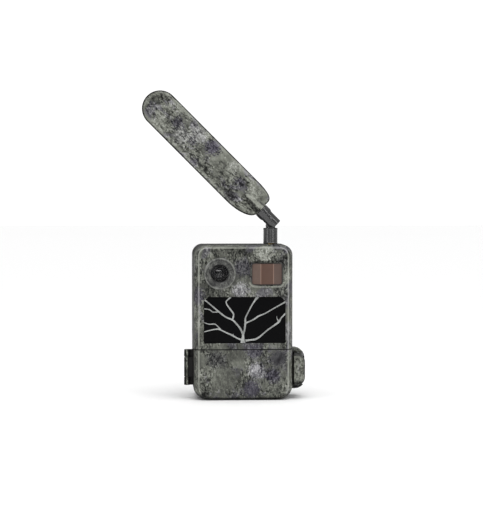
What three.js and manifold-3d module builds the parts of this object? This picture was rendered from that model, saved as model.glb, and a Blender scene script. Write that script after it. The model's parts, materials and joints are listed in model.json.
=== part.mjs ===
// A cellular trail camera: a two-part weatherproof case with a hinged battery door, its optics,
// electronics, battery tray and latch, and a blade antenna that swivels and tilts.
// Units are millimetres. X is to the right seen from the front, Y runs from front to back, Z is up.
// The origin is the middle of the flat base that the camera stands on.
import * as THREE from "three";
import { mergeVertices } from "three/addons/utils/BufferGeometryUtils.js";
import Module from "manifold-3d";

const wasm = await Module();
wasm.setup();

// Case
const HALF_WIDTH = 44.1;
const HEIGHT = 137;
const FRONT_Y = -34;
const REAR_Y = 32;
const WALL = 2.4;
const TOP_RADIUS = 9.2;
const BOTTOM_RADIUS = 12;
const PARTING_Y = -18; // plane between the front shells and the rear housing
const SPLIT_Z = 44.85; // plane between the front housing and the battery door
const SEAM = 0.2; // half of the gap at each of those planes
const RIM_DEPTH = 5; // thick rim around each mouth of the rear housing
const MOUTH_HALF_WIDTH = 39.1;
const LOWER_MOUTH = { low: 5, high: 41, radius: 6 };
const UPPER_MOUTH = { low: 49, high: 132, radius: 5 };
const DOOR_FOOT = 0.5; // the door's underside stays off the ground by this much

// Hinge of the battery door, on the left
const HINGE = { x: -49.45, y: PARTING_Y, radius: 2.7, leaf: 2, bore: 1.25, pin: 1.1 };
const HINGE_LOW = 12.4;
const HINGE_HIGH = 44.1;
const KNUCKLE_LOW = 19.7; // the door's knuckle lies between these two heights
const KNUCKLE_HIGH = 37.3;
const KNUCKLE_GAP = 0.2;

// Latch, on the right
const LATCH = { x: 49.8, y: -2, barrel: 4.9, bore: 1.7, pin: 1.5 };
const GUARD = { outer: 57.3, low: 7.5, high: 43.8, radius: 10, web: 4.2, rear: 9, front: -8.5, ear: 3.5 };
const LEVER = { low: 11.5, high: 39.9, outer: 55.7, radius: 7.5 };

// Optics on the front face
const LENS = { x: -21, z: 112 };
const PIR = { x: 20.8, z: 111.5, halfWidth: 13.55, halfHeight: 9.55, radius: 2.8, chamfer: 2 };
const WINDOW = { x: 1, halfWidth: 35.8, low: 50.8, high: 91.1, corner: 3.4 };
const STATUS_LIGHT = { x: -0.4, z: 110.3, radius: 1.3 };

// Antenna
const ANTENNA = { x: 24.3, y: -24, bossTop: 137.6, collarLow: 138.1, collarHigh: 152.1, pivot: 159.4 };
const TILT = THREE.MathUtils.degToRad(44.9); // lean of the blade away from upright, to the left
const FORK = { radius: 5.75, end: -7, slot: 2.5, slotDepth: 5, sleeve: 6.5, sleeveFrom: 5.6 };
const BLADE = { halfWidth: 16.05, base: 12.3, tip: 154, halfThickness: 3.7, boss: 6.9, bossEnd: 34 };

// Battery bay
const TRAY = { left: -37.9, right: 23.7, low: 6.8, high: 39.2, front: -25.2, rear: 28.9, chamfer: 2, pull: 1.6 };
const CELL = { radius: 7.1, bore: 7.3, length: 50.5, front: -23.1, columnPitch: 14.9, rowPitch: 15.5 };
const PANEL = { left: 24.6, front: -16.8, rear: -15 };
const BUTTONS = { x: 28.2, z: [25.4, 19.2, 13], names: ["button_up", "button_ok", "button_down"], radius: 2.3 };
const SWITCH = { x: 35, low: 13, travel: 5, width: 2.8, height: 3.6 };
const SD_CARD = { left: 26.2, right: 37.2, z: 9.4, thickness: 0.9, front: -17.4, length: 15 };
const SIM_CARD = { left: 25.7, right: 34.5, z: 7, thickness: 0.7, front: -17.3, length: 12.3 };
const DISPLAY = { left: 25.4, right: 36.6, low: 29.4, high: 38.4 };

// Underside
const TRIPOD = { x: 0, y: 10, outer: 5.2, thread: 3.25, depth: 5.9 };
const POWER_PORT = { x: 28.6, y: 8, radius: 4.1 };

// Screws that hold the rear housing to the front housing
const PILLAR = { x: 36.6, z: [129.2, 51.5], radius: 4.4, boss: 3.6, bore: 1.7, head: 3.2, seat: -9 };

// Tree bracket on the back
const BRACKET = { halfWidth: 28, low: 18, high: 120, front: 32.2, plate: 34.8, rear: 43, rail: 6 };
const STRAP_SLOTS = [{ low: 88, high: 115 }, { low: 23, high: 50 }];
const STRAP_SLOT_Y = [35.2, 40];

const paint = (color, roughness, metalness = 0, more = {}) =>
  new THREE.MeshStandardMaterial({ color, roughness, metalness, ...more });
const MATERIAL = {
  camo: paint(0x6f7168, 0.62),
  seal: paint(0x18191a, 0.85),
  steel: paint(0x8c8f92, 0.35, 1),
  brass: paint(0xb08a45, 0.35, 1),
  blackPlastic: paint(0x1b1c1d, 0.5),
  greyPlastic: paint(0x3b3d3f, 0.55),
  antennaPlastic: paint(0x2e2f31, 0.45),
  board: paint(0x1f4d33, 0.6),
  shield: paint(0xa9adb0, 0.35, 1),
  glass: paint(0x101418, 0.05, 0, { transparent: true, opacity: 0.4 }),
  pir: paint(0x5d453a, 0.35),
  irWindow: paint(0x060606, 0.12),
  cell: paint(0x2c6b4a, 0.4),
  cardWhite: paint(0xd8d8d4, 0.5),
  screen: paint(0x0b1016, 0.15),
  buttonRubber: paint(0x55585a, 0.7),
};

// A geometry as a manifold-3d solid.
function solid(geometry) {
  const bare = geometry.clone();
  bare.deleteAttribute("normal");
  bare.deleteAttribute("uv");
  const merged = mergeVertices(bare, 1e-4);
  return new wasm.Manifold(
    new wasm.Mesh({
      numProp: 3,
      vertProperties: merged.attributes.position.array,
      triVerts: new Uint32Array(merged.index.array),
    }),
  );
}

function geometryOf(shape) {
  const mesh = shape.getMesh();
  const geometry = new THREE.BufferGeometry();
  geometry.setAttribute("position", new THREE.BufferAttribute(mesh.vertProperties, 3));
  geometry.setIndex(new THREE.BufferAttribute(mesh.triVerts, 1));
  geometry.computeVertexNormals();
  return geometry;
}

const join = (first, ...rest) => rest.reduce((all, next) => all.add(next), first);
const cut = (first, ...rest) => rest.reduce((all, next) => all.subtract(next), first);

function block(x, y, z) {
  const box = new THREE.BoxGeometry(x[1] - x[0], y[1] - y[0], z[1] - z[0]);
  box.translate((x[0] + x[1]) / 2, (y[0] + y[1]) / 2, (z[0] + z[1]) / 2);
  return solid(box);
}

// A solid of revolution about Z: profile points are [radius, height].
function turned(profile, sides = 24) {
  return new THREE.LatheGeometry(profile.map(([r, h]) => new THREE.Vector2(r, h)), sides).rotateX(Math.PI / 2);
}

const rod = (radius, from, to, sides) =>
  turned([[0, from], [radius, from], [radius, to], [0, to]], sides);

// Rods along Z and along Y, through a point.
const uprightRod = (radius, z, x, y, sides = 20) => solid(rod(radius, z[0], z[1], sides).translate(x, y, 0));
const deepGeometry = (profile, x, z, sides) => turned(profile, sides).rotateX(-Math.PI / 2).translate(x, 0, z);
const deepRod = (radius, y, x, z, sides = 20) =>
  solid(deepGeometry([[0, y[0]], [radius, y[0]], [radius, y[1]], [0, y[1]]], x, z, sides));

// An outline in X and Z, pushed through from y[0] to y[1].
function deepPrism(shape, y, curveSegments = 4) {
  const prism = new THREE.ExtrudeGeometry(shape, { depth: y[1] - y[0], bevelEnabled: false, curveSegments });
  return solid(prism.rotateX(Math.PI / 2).translate(0, y[1], 0));
}

// An outline in X and Y, raised from z[0] to z[1].
function tallPrism(shape, z, curveSegments = 6) {
  const prism = new THREE.ExtrudeGeometry(shape, { depth: z[1] - z[0], bevelEnabled: false, curveSegments });
  return solid(prism.translate(0, 0, z[0]));
}

const outline = (points) => new THREE.Shape(points.map(([x, y]) => new THREE.Vector2(x, y)));

// The corner points of a rectangle with rounded corners, anticlockwise from the lower left.
function roundedRing(left, right, low, high, topRadius, bottomRadius, steps = 5) {
  const corners = [
    [left + bottomRadius, low + bottomRadius, bottomRadius, 180],
    [right - bottomRadius, low + bottomRadius, bottomRadius, 270],
    [right - topRadius, high - topRadius, topRadius, 0],
    [left + topRadius, high - topRadius, topRadius, 90],
  ];
  return corners.flatMap(([x, z, radius, start]) =>
    Array.from({ length: steps + 1 }, (_, i) => {
      const angle = THREE.MathUtils.degToRad(start + (90 * i) / steps);
      return [x + radius * Math.cos(angle), z + radius * Math.sin(angle)];
    }),
  );
}

const roundedOutline = (left, right, low, high, radius, steps = 4) =>
  outline(roundedRing(left, right, low, high, radius, radius, steps));

// A closed skin through rings of equal length, each at its own depth y, from front to back.
function loft(rings) {
  const count = rings[0].points.length;
  const position = rings.flatMap(({ y, points }) => points.flatMap(([x, z]) => [x, y, z]));
  const index = [];
  for (let ring = 0; ring + 1 < rings.length; ring++) {
    for (let i = 0; i < count; i++) {
      const a = ring * count + i;
      const b = ring * count + ((i + 1) % count);
      index.push(a, a + count, b, b, a + count, b + count);
    }
  }
  const last = (rings.length - 1) * count;
  for (let i = 1; i + 1 < count; i++) {
    index.push(0, i, i + 1, last, last + i + 1, last + i);
  }
  const geometry = new THREE.BufferGeometry();
  geometry.setAttribute("position", new THREE.Float32BufferAttribute(position, 3));
  geometry.setIndex(index);
  return solid(geometry);
}

// The case's outside, station by station: how far its sides and its top and bottom edges are drawn in.
const STATIONS = [
  { y: FRONT_Y, side: 5.4, edge: 2.4 },
  { y: FRONT_Y + 0.8, side: 4.7, edge: 1.7 },
  { y: FRONT_Y + 7, side: 0.8, edge: 0.45 },
  { y: FRONT_Y + 9.5, side: 0, edge: 0 },
  { y: REAR_Y - 10, side: 0, edge: 0 },
  { y: REAR_Y - 3, side: 2.5, edge: 1.8 },
  { y: REAR_Y, side: 6.5, edge: 5 },
];

function caseBody(inset) {
  const rings = STATIONS.map(({ y, side, edge }) => ({
    y: THREE.MathUtils.clamp(y, FRONT_Y + inset, REAR_Y - inset),
    points: roundedRing(
      -HALF_WIDTH + side + inset,
      HALF_WIDTH - side - inset,
      edge + inset,
      HEIGHT - edge - inset,
      TOP_RADIUS - 0.5 * side - inset,
      BOTTOM_RADIUS - 0.55 * side - inset,
    ),
  }));
  const kept = rings.filter((ring, i) => i === 0 || ring.y > rings[i - 1].y);
  return loft(kept);
}

const FAR = 200;
const caseOutside = caseBody(0);
const caseInside = caseBody(WALL);
const behind = (y) => block([-FAR, FAR], [y, FAR], [-FAR, FAR]);
const before = (y) => block([-FAR, FAR], [-FAR, y], [-FAR, FAR]);
const above = (z) => block([-FAR, FAR], [-FAR, FAR], [z, FAR]);
const below = (z) => block([-FAR, FAR], [-FAR, FAR], [-FAR, z]);

function mouth({ low, high, radius }, y, inset = 0) {
  const half = MOUTH_HALF_WIDTH - inset;
  return deepPrism(roundedOutline(-half, half, low + inset, high - inset, radius - inset), y);
}

// A seal's frame, drawn in from the case's edge, in the plane of the parting face.
const SEAL_EDGE = 1.7;
const SEAL_WIDTH = 1.8;
const SEAL_DEPTH = 1.5;
function sealFrame(low, high, topRadius, bottomRadius, margin, y) {
  const ring = (inset) =>
    roundedRing(-HALF_WIDTH + inset, HALF_WIDTH - inset, low + inset, high - inset,
      topRadius - inset, bottomRadius - inset);
  const shape = outline(ring(SEAL_EDGE - margin));
  shape.holes.push(outline(ring(SEAL_EDGE + SEAL_WIDTH + margin)));
  return deepPrism(shape, y);
}
const doorSealFrame = (margin, y) => sealFrame(0, SPLIT_Z, 7, BOTTOM_RADIUS, margin, y);
const upperSealFrame = (margin, y) => sealFrame(SPLIT_Z, HEIGHT, TOP_RADIUS, 7, margin, y);

const hingeRod = (radius, z, sides) => uprightRod(radius, z, HINGE.x, HINGE.y, sides);
const hingeLeaf = (y, z) => block([HINGE.x, -HALF_WIDTH + 0.6], y, z);

// A D-shaped outline in X and Z that grows out of the case's right side.
function latchOutline(outer, low, high, radius) {
  const shape = new THREE.Shape();
  shape.moveTo(HALF_WIDTH - 0.6, low);
  shape.lineTo(outer - radius, low);
  shape.absarc(outer - radius, low + radius, radius, -Math.PI / 2, 0, false);
  shape.absarc(outer - radius, high - radius, radius, 0, Math.PI / 2, false);
  shape.lineTo(HALF_WIDTH - 0.6, high);
  return shape;
}

function latchGuard() {
  const plate = (y) => deepPrism(latchOutline(GUARD.outer, GUARD.low, GUARD.high, GUARD.radius), y, 5);
  const ears = cut(
    plate([GUARD.front, GUARD.web]),
    block([-FAR, FAR], [-FAR, FAR], [GUARD.low + GUARD.ear, GUARD.high - GUARD.ear]),
  );
  const pinHole = uprightRod(LATCH.bore, [GUARD.low + 1, GUARD.high - 1.2], LATCH.x, LATCH.y, 12);
  return cut(join(plate([GUARD.web, GUARD.rear]), ears), pinHole);
}

function rearHousing() {
  const shell = caseOutside.intersect(behind(PARTING_Y + SEAM));
  const bay = caseInside.intersect(behind(PARTING_Y + RIM_DEPTH));
  const bulkhead = block([-FAR, FAR], [-FAR, FAR], [LOWER_MOUTH.high + 1.4, UPPER_MOUTH.low - 1.6]);
  const mouthDepth = [PARTING_Y - 1, PARTING_Y + RIM_DEPTH + 0.1];
  const hollow = join(cut(bay, bulkhead), mouth(LOWER_MOUTH, mouthDepth), mouth(UPPER_MOUTH, mouthDepth));
  const pillars = PILLAR.z.flatMap((z) =>
    [-1, 1].map((side) => deepRod(PILLAR.radius, [PARTING_Y + SEAM, REAR_Y - 4], side * PILLAR.x, z, 12)));
  const screwHoles = PILLAR.z.flatMap((z) =>
    [-1, 1].flatMap((side) => [
      deepRod(PILLAR.bore, [PARTING_Y - 1, PILLAR.seat + 1], side * PILLAR.x, z, 10),
      deepRod(PILLAR.head, [PILLAR.seat, REAR_Y + 1], side * PILLAR.x, z, 12),
    ]));
  const knuckles = [[HINGE_LOW, KNUCKLE_LOW - KNUCKLE_GAP], [KNUCKLE_HIGH + KNUCKLE_GAP, HINGE_HIGH]]
    .map((z) => join(hingeRod(HINGE.radius, z), hingeLeaf([PARTING_Y + SEAM, PARTING_Y + SEAM + HINGE.leaf], z)));
  const tripodBoss = uprightRod(TRIPOD.outer + 2, [0.6, TRIPOD.depth + 0.6], TRIPOD.x, TRIPOD.y, 16);
  const seat = 0.15;
  const bracketBores = BRACKET_SCREW_Z.map((z) => deepRod(1.7, [REAR_Y - WALL - 1, REAR_Y + 1], 0, z, 10));
  const grooveDepth = [PARTING_Y - 1, PARTING_Y + SEAM + SEAL_DEPTH + seat];
  return cut(
    join(cut(shell, hollow), ...pillars, ...knuckles, tripodBoss, latchGuard()),
    ...screwHoles,
    ...bracketBores,
    hingeRod(HINGE.bore, [HINGE_LOW - 1, HINGE_HIGH + 1], 12),
    uprightRod(TRIPOD.outer + seat, [-1, TRIPOD.depth + seat], TRIPOD.x, TRIPOD.y, 16),
    uprightRod(POWER_PORT.radius, [-1, WALL + 1], POWER_PORT.x, POWER_PORT.y, 16),
    doorSealFrame(seat, grooveDepth),
    upperSealFrame(seat, grooveDepth),
  );
}

function batteryDoor() {
  const rear = PARTING_Y - SEAM;
  const shell = caseOutside.intersect(block([-FAR, FAR], [-FAR, rear], [DOOR_FOOT, SPLIT_Z - SEAM]));
  const rim = 3.6;
  const hollow = join(
    caseInside.intersect(block([-FAR, FAR], [-FAR, PARTING_Y - rim], [-FAR, SPLIT_Z - SEAM - WALL])),
    mouth(LOWER_MOUTH, [PARTING_Y - rim - 0.1, PARTING_Y + 1]),
  );
  const knuckleSpan = [KNUCKLE_LOW + KNUCKLE_GAP, KNUCKLE_HIGH - KNUCKLE_GAP];
  const knuckle = join(hingeRod(HINGE.radius, knuckleSpan), hingeLeaf([rear - HINGE.leaf, rear], knuckleSpan));
  const catchRidge = block([HALF_WIDTH - 0.6, HALF_WIDTH + 0.9], [-21.8, -19.4], [14, 38]);
  return cut(
    join(cut(shell, hollow), knuckle, catchRidge),
    hingeRod(HINGE.bore, [HINGE_LOW - 1, HINGE_HIGH + 1], 12),
  );
}

// The motion sensor's opening, wider at the front face.
function pirOpening() {
  const ring = (y, grow) => ({
    y,
    points: roundedRing(
      PIR.x - PIR.halfWidth - grow, PIR.x + PIR.halfWidth + grow,
      PIR.z - PIR.halfHeight - grow, PIR.z + PIR.halfHeight + grow,
      PIR.radius + grow, PIR.radius + grow, 4,
    ),
  });
  const chamferEnd = FRONT_Y + 1.6;
  return loft([ring(FRONT_Y - 0.5, PIR.chamfer * 1.3), ring(chamferEnd, 0), ring(FRONT_Y + 6, 0)]);
}

function frontHousing() {
  const shell = caseOutside.intersect(before(PARTING_Y - SEAM)).intersect(above(SPLIT_Z + SEAM));
  const hollow = caseInside.intersect(before(PARTING_Y + 1)).intersect(above(SPLIT_Z + SEAM + WALL));
  const top = ANTENNA.bossTop;
  const boss = deepPrism(
    outline([[11.5, 131], [35.5, 131], [33, 134.6], [31.4, 137.1], [30.7, top], [17.9, top], [17.2, 137.1],
      [15, 134.8]]),
    [FRONT_Y + 0.3, PARTING_Y - SEAM],
  );
  const screwBosses = PILLAR.z.flatMap((z) =>
    [-1, 1].map((side) => deepRod(PILLAR.boss, [FRONT_Y + 1, PARTING_Y - SEAM], side * PILLAR.x, z, 12)));
  const screwHoles = PILLAR.z.flatMap((z) =>
    [-1, 1].map((side) => deepRod(PILLAR.bore, [FRONT_Y + 6, PARTING_Y + 1], side * PILLAR.x, z, 10)));
  const windowSeat = 0.25;
  const windowRebate = deepPrism(
    roundedOutline(WINDOW.x - WINDOW.halfWidth - windowSeat, WINDOW.x + WINDOW.halfWidth + windowSeat,
      WINDOW.low - windowSeat, WINDOW.high + windowSeat, 1, 2),
    [FRONT_Y - 1, FRONT_Y + 2.6],
  );
  const lip = 2.4;
  const windowThrough = block(
    [WINDOW.x - WINDOW.halfWidth + lip, WINDOW.x + WINDOW.halfWidth - lip],
    [FRONT_Y, FRONT_Y + 6],
    [WINDOW.low + lip, WINDOW.high - lip],
  );
  const ledge = cut(
    block(
      [WINDOW.x - WINDOW.halfWidth - 1.7, WINDOW.x + WINDOW.halfWidth + 1.7],
      [FRONT_Y + 1, FRONT_Y + 4.2],
      [WINDOW.low - 1.6, WINDOW.high + 1.6],
    ),
    windowRebate,
    windowThrough,
  );
  return cut(
    join(cut(shell, hollow), boss, ledge.intersect(caseOutside), ...screwBosses),
    ...screwHoles,
    windowRebate,
    windowThrough,
    deepRod(10.3, [FRONT_Y - 1, FRONT_Y + 6], LENS.x, LENS.z, 32),
    pirOpening(),
    deepRod(STATUS_LIGHT.radius, [FRONT_Y - 1, FRONT_Y + 4], STATUS_LIGHT.x, STATUS_LIGHT.z, 12),
    uprightRod(3.4, [120, HEIGHT + 2], ANTENNA.x, ANTENNA.y, 16),
  );
}

function latchLever() {
  const { x, y, barrel } = LATCH;
  const shape = new THREE.Shape();
  shape.moveTo(45.25, -23);
  shape.lineTo(45.25, -25.9);
  shape.quadraticCurveTo(45.4, -27.2, 47, -27.2);
  shape.quadraticCurveTo(LEVER.outer - 0.6, -26.6, LEVER.outer, -14);
  shape.lineTo(LEVER.outer - 0.2, y - 1);
  shape.absarc(x, y, barrel, -0.1, Math.PI + 0.75, false);
  shape.lineTo(46.2, -22);
  const side = tallPrism(shape, [LEVER.low, LEVER.high], 5);
  const front = deepPrism(latchOutline(LEVER.outer + 0.1, LEVER.low, LEVER.high, LEVER.radius), [-40, 20], 5);
  return cut(side.intersect(front), uprightRod(LATCH.bore, [0, 60], x, y, 12));
}

function lensBezel() {
  return deepGeometry(
    [
      [14, FRONT_Y - 0.5], [10, FRONT_Y - 0.5], [10, FRONT_Y + 5.2], [7.4, FRONT_Y + 5.2],
      [7.4, FRONT_Y + 4], [8.3, FRONT_Y + 4], [8.3, FRONT_Y + 2.4], [7, FRONT_Y + 2.4],
      [7, FRONT_Y + 0.6], [7.8, FRONT_Y], [12.8, FRONT_Y - 3], [13.5, FRONT_Y - 3],
      [14, FRONT_Y - 2.5], [14, FRONT_Y - 0.5],
    ],
    LENS.x, LENS.z, 28,
  );
}

// The flat ring between the bezel's flange and the front housing.
function lensSeal() {
  const [inner, outer] = [10.4, 13.1];
  const [front, rear] = [FRONT_Y - 0.42, FRONT_Y - 0.08];
  return deepGeometry(
    [[inner, front], [outer, front], [outer, rear], [inner, rear], [inner, front]], LENS.x, LENS.z, 32);
}

function lensBarrel() {
  return deepGeometry(
    [
      [0, -26.2], [4.1, -26.2], [4.1, -27.6], [6.5, -28.6], [7, -28.6], [7, -22],
      [6, -22], [6, -17], [3, -17], [3, -18.5], [0, -18.5],
    ],
    LENS.x, LENS.z, 24,
  );
}

const lensElement = () =>
  deepGeometry(
    [[0, -28], [1.6, -27.85], [3, -27.4], [3.9, -26.7], [3.9, -26.3], [0, -26.3]], LENS.x, LENS.z, 24);

const HOLDER = { left: LENS.x - 11, right: LENS.x + 9, half: 7.5, front: -19.5, rear: -13.3 };
const SHUTTLE = { left: LENS.x - 10.2, length: 13.4, y: [-15.7, -15], half: 3.4, travel: 5 };
const aroundLens = (half) => [LENS.z - half, LENS.z + half];

function lensHolder() {
  const shuttleWay = [SHUTTLE.left - 0.2, SHUTTLE.left + SHUTTLE.length + SHUTTLE.travel + 0.4];
  return cut(
    block([HOLDER.left, HOLDER.right], [HOLDER.front, HOLDER.rear], aroundLens(HOLDER.half)),
    deepRod(6.3, [HOLDER.front - 1, -16.7], LENS.x, LENS.z, 24),
    deepRod(4.4, [-18, HOLDER.rear + 1], LENS.x, LENS.z, 16),
    block(shuttleWay, [SHUTTLE.y[0] - 0.2, SHUTTLE.y[1] + 0.2], aroundLens(SHUTTLE.half + 0.3)),
  );
}

function irCutShuttle() {
  const plate = block([SHUTTLE.left, SHUTTLE.left + SHUTTLE.length], SHUTTLE.y, aroundLens(SHUTTLE.half));
  return cut(plate, deepRod(2.5, [-17, -14], LENS.x + 0.1, LENS.z, 12));
}

const BOARD = { front: -13, rear: -11.6 };

function sensorBoard() {
  const board = block([-33, 33], [BOARD.front, BOARD.rear], [101, 123.5]);
  const imageSensor = block([LENS.x - 2.9, LENS.x + 2.9], [-14.3, BOARD.front + 0.2], aroundLens(2.9));
  const connector = block([-6, 6], [-11.8, -8], [104, 108]);
  const chips = [[-2, 3, 113, 118], [6, 10, 103, 107]].map(([left, right, low, high]) =>
    block([left, right], [-13.9, BOARD.front + 0.2], [low, high]));
  return join(board, imageSensor, connector, ...chips);
}

const pirSensor = () =>
  deepGeometry(
    [
      [0, -16.6], [2.6, -16.6], [2.8, -16.9], [3.9, -16.9], [4.1, -16.7],
      [4.1, -13.8], [4.6, -13.8], [4.6, -13.2], [0, -13.2],
    ],
    PIR.x, PIR.z, 18,
  );

// The motion sensor's window: three flat lens fields, bent outwards, with a rim that sits behind the opening.
function pirWindow() {
  const bend = 5.6;
  const half = PIR.halfWidth - 0.25;
  const tall = PIR.halfHeight - 0.25;
  const crown = -33.7;
  const heel = -31.2;
  const thickness = 0.9;
  const x = PIR.x;
  const fields = outline([
    [x - half, heel], [x - bend, crown], [x + bend, crown], [x + half, heel],
    [x + half, heel + 1.9], [x + half - thickness, heel + 1.9], [x + half - thickness, heel + thickness * 0.9],
    [x + bend, crown + thickness], [x - bend, crown + thickness],
    [x - half + thickness, heel + thickness * 0.9], [x - half + thickness, heel + 1.9], [x - half, heel + 1.9],
  ]);
  const skin = tallPrism(fields, [PIR.z - tall, PIR.z + tall]);
  const rounded = deepPrism(
    roundedOutline(x - half, x + half, PIR.z - tall, PIR.z + tall, PIR.radius, 4), [-40, -20]);
  const rim = deepPrism(
    roundedOutline(x - half - 1.4, x + half + 1.4, PIR.z - tall - 1.4, PIR.z + tall + 1.4, PIR.radius + 1, 3),
    [FRONT_Y + WALL + 0.2, FRONT_Y + WALL + 1.4],
  );
  const halfInside = half - thickness;
  const tallInside = tall - thickness;
  const inside = deepPrism(
    roundedOutline(x - halfInside, x + halfInside, PIR.z - tallInside, PIR.z + tallInside, 2, 3), [-40, -20]);
  return join(skin.intersect(rounded), cut(rim, inside));
}

const irWindow = () =>
  deepPrism(
    roundedOutline(WINDOW.x - WINDOW.halfWidth, WINDOW.x + WINDOW.halfWidth, WINDOW.low, WINDOW.high, 0.8, 2),
    [FRONT_Y + 0.5, FRONT_Y + 2.4],
  );

// The bare-branch mask printed over the infra-red window: each branch is a line of [x, z, width].
// X is from the window's middle and Z from its lower edge.
const BRANCHES = [
  [[-1.6, 0, 6.4], [-1.7, 3.2, 3.6], [-1.6, 7.4, 2.1], [-3.8, 12.3, 1.9], [-6.9, 16.4, 1.7], [-10.9, 20.4, 1.7],
    [-16.4, 22.7, 1.5], [-22.9, 27.6, 1.6], [-30.6, 34.2, 1.3], [-36.2, 38.8, 1.5]],
  [[-22.9, 27.6, 1.3], [-27.9, 27.4, 1.1], [-31.4, 29.6, 1], [-36.2, 30.3, 1]],
  [[-10.9, 20.4, 1.5], [-9.9, 25.3, 1.5], [-12.9, 29.9, 1.4], [-15.6, 33.6, 1.3], [-16.4, 36.4, 1.1],
    [-14.8, 38.4, 1.2], [-12.4, 40.6, 1.8]],
  [[-1.6, 6.6, 1.8], [-0.2, 11.7, 1.7], [0.5, 17.7, 1.9], [0.6, 21.9, 1.5], [2.6, 26.3, 1.3], [5.2, 31.3, 1.4],
    [8.2, 36.3, 1.5], [11.4, 40.8, 3]],
  [[0.8, 17.7, 1.6], [5, 19.3, 1.3], [8.5, 21.1, 1.5], [12.1, 23.6, 1.4], [17.6, 25.8, 1.2], [24.6, 29.8, 1.2],
    [30.1, 32.9, 1.3], [36.4, 36.4, 1.5]],
  [[0.6, 1.9, 2.4], [5, 2.6, 1.6], [9.4, 3.2, 1.9], [13.3, 5.4, 1.6], [17.3, 8.9, 1.4], [21.2, 12.1, 1.4],
    [25.7, 15.1, 1.6], [30.1, 18.5, 1.9], [32.2, 22, 1.3], [36.4, 26.2, 1.6]],
  [[30.1, 18.6, 1.7], [28.5, 21.4, 0.9], [28.3, 23.6, 0.6]],
  [[-1.6, 2.4, 2.6], [-5.2, 3.6, 1.5], [-8, 5, 1.4], [-12, 7.2, 1.6], [-16, 9, 1.3], [-20, 11, 1.3],
    [-23, 12.3, 1.6], [-27, 12, 1.2], [-31, 11.2, 1], [-36.2, 9.8, 1.1]],
  [[-21.6, 12, 1.5], [-23.5, 14.4, 1.2], [-26.5, 16.7, 1.1], [-31.4, 16.7, 1], [-36.2, 18.2, 1]],
  [[-10.4, 6.5, 1.3], [-10.2, 8, 0.6]],
];
const MASK_Y = [FRONT_Y + 0.05, FRONT_Y + 0.45];

// One branch as a chain of tapered strokes with round joints.
function branchStrokes(points) {
  const place = ([x, z, width]) => ({ x: WINDOW.x + x, z: WINDOW.low + z, r: width / 2 });
  return points.slice(1).map((point, i) => {
    const a = place(points[i]);
    const b = place(point);
    const along = Math.atan2(b.z - a.z, b.x - a.x);
    const round = (p, from) =>
      Array.from({ length: 4 }, (_, k) => {
        const angle = from + (Math.PI * k) / 3;
        return [p.x + p.r * Math.cos(angle), p.z + p.r * Math.sin(angle)];
      });
    return deepPrism(outline([...round(a, along + Math.PI / 2), ...round(b, along - Math.PI / 2)]), MASK_Y);
  });
}

function branchMask() {
  const frame = block(
    [WINDOW.x - WINDOW.halfWidth, WINDOW.x + WINDOW.halfWidth], MASK_Y, [WINDOW.low, WINDOW.high]);
  const corners = [-1, 1].map((side) => {
    const x = WINDOW.x + side * WINDOW.halfWidth;
    return deepPrism(
      outline([[x, WINDOW.high], [x - side * WINDOW.corner, WINDOW.high], [x, WINDOW.high - WINDOW.corner]]),
      MASK_Y,
    );
  });
  const strokes = BRANCHES.flatMap(branchStrokes);
  return join(strokes[0], ...strokes.slice(1)).intersect(frame).add(corners[0]).add(corners[1]);
}

function irLedBoard() {
  const half = 31.5;
  const board = block([WINDOW.x - half, WINDOW.x + half], [-26.6, -25.2], [54, 88]);
  const columns = 8;
  const rows = 4;
  const leds = [];
  for (let column = 0; column < columns; column++) {
    for (let row = 0; row < rows; row++) {
      const x = WINDOW.x + (column - (columns - 1) / 2) * 7.6;
      const z = 71 + (row - (rows - 1) / 2) * 8;
      leds.push(solid(deepGeometry([[0, -29.6], [1.5, -29.2], [1.5, -26.5], [0, -26.5]], x, z, 6)));
    }
  }
  return join(board, ...leds);
}

function mainBoard() {
  const board = block([-31, 31], [6, 7.6], [52, 131]);
  const parts = [
    [-26, -8, 60, 74, 2.4], [-2, 8, 58, 66, 1.6], [14, 26, 56, 70, 4],
    [-24, -14, 84, 94, 1.4], [-28, -18, 102, 124, 3.4],
  ].map(([left, right, low, high, height]) => block([left, right], [6 - height, 6.2], [low, high]));
  return join(board, ...parts);
}

function antennaCoax() {
  const route = new THREE.CatmullRomCurve3(
    [[24.3, -24, 121.6], [24.3, -22.5, 117.5], [25.6, -12, 126.2], [26.6, -4, 127.2], [20, 1.4, 122.8]]
      .map(([x, y, z]) => new THREE.Vector3(x, y, z)),
  );
  const section = new THREE.Shape().absarc(0, 0, 0.9, 0, Math.PI * 2);
  const options = { steps: 16, extrudePath: route, curveSegments: 4, bevelEnabled: false };
  return new THREE.ExtrudeGeometry(section, options);
}

// A card's own shape with room to spare all round, from y[0] to y[1].
const cardSlot = (card, spare, y) =>
  block(
    [card.left - spare, card.right + spare], y,
    [card.z - card.thickness / 2 - spare, card.z + card.thickness / 2 + spare],
  );

function controlPanel() {
  const y = [PANEL.front, PANEL.rear];
  const through = [y[0] - 1, y[1] + 1];
  const panel = mouth(LOWER_MOUTH, y, 0.3).intersect(block([PANEL.left, FAR], [-FAR, FAR], [-FAR, FAR]));
  const switchSlot = block(
    [SWITCH.x - SWITCH.width / 2 - 0.3, SWITCH.x + SWITCH.width / 2 + 0.3], through,
    [SWITCH.low - 0.3, SWITCH.low + SWITCH.height + SWITCH.travel + 0.3]);
  return cut(
    panel,
    block([DISPLAY.left + 0.6, DISPLAY.right - 0.6], through, [DISPLAY.low + 0.6, DISPLAY.high - 0.6]),
    ...BUTTONS.z.map((z) => deepRod(BUTTONS.radius + 0.3, through, BUTTONS.x, z, 16)),
    switchSlot,
    cardSlot(SD_CARD, 0.3, through),
    cardSlot(SIM_CARD, 0.3, through),
  );
}

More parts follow.
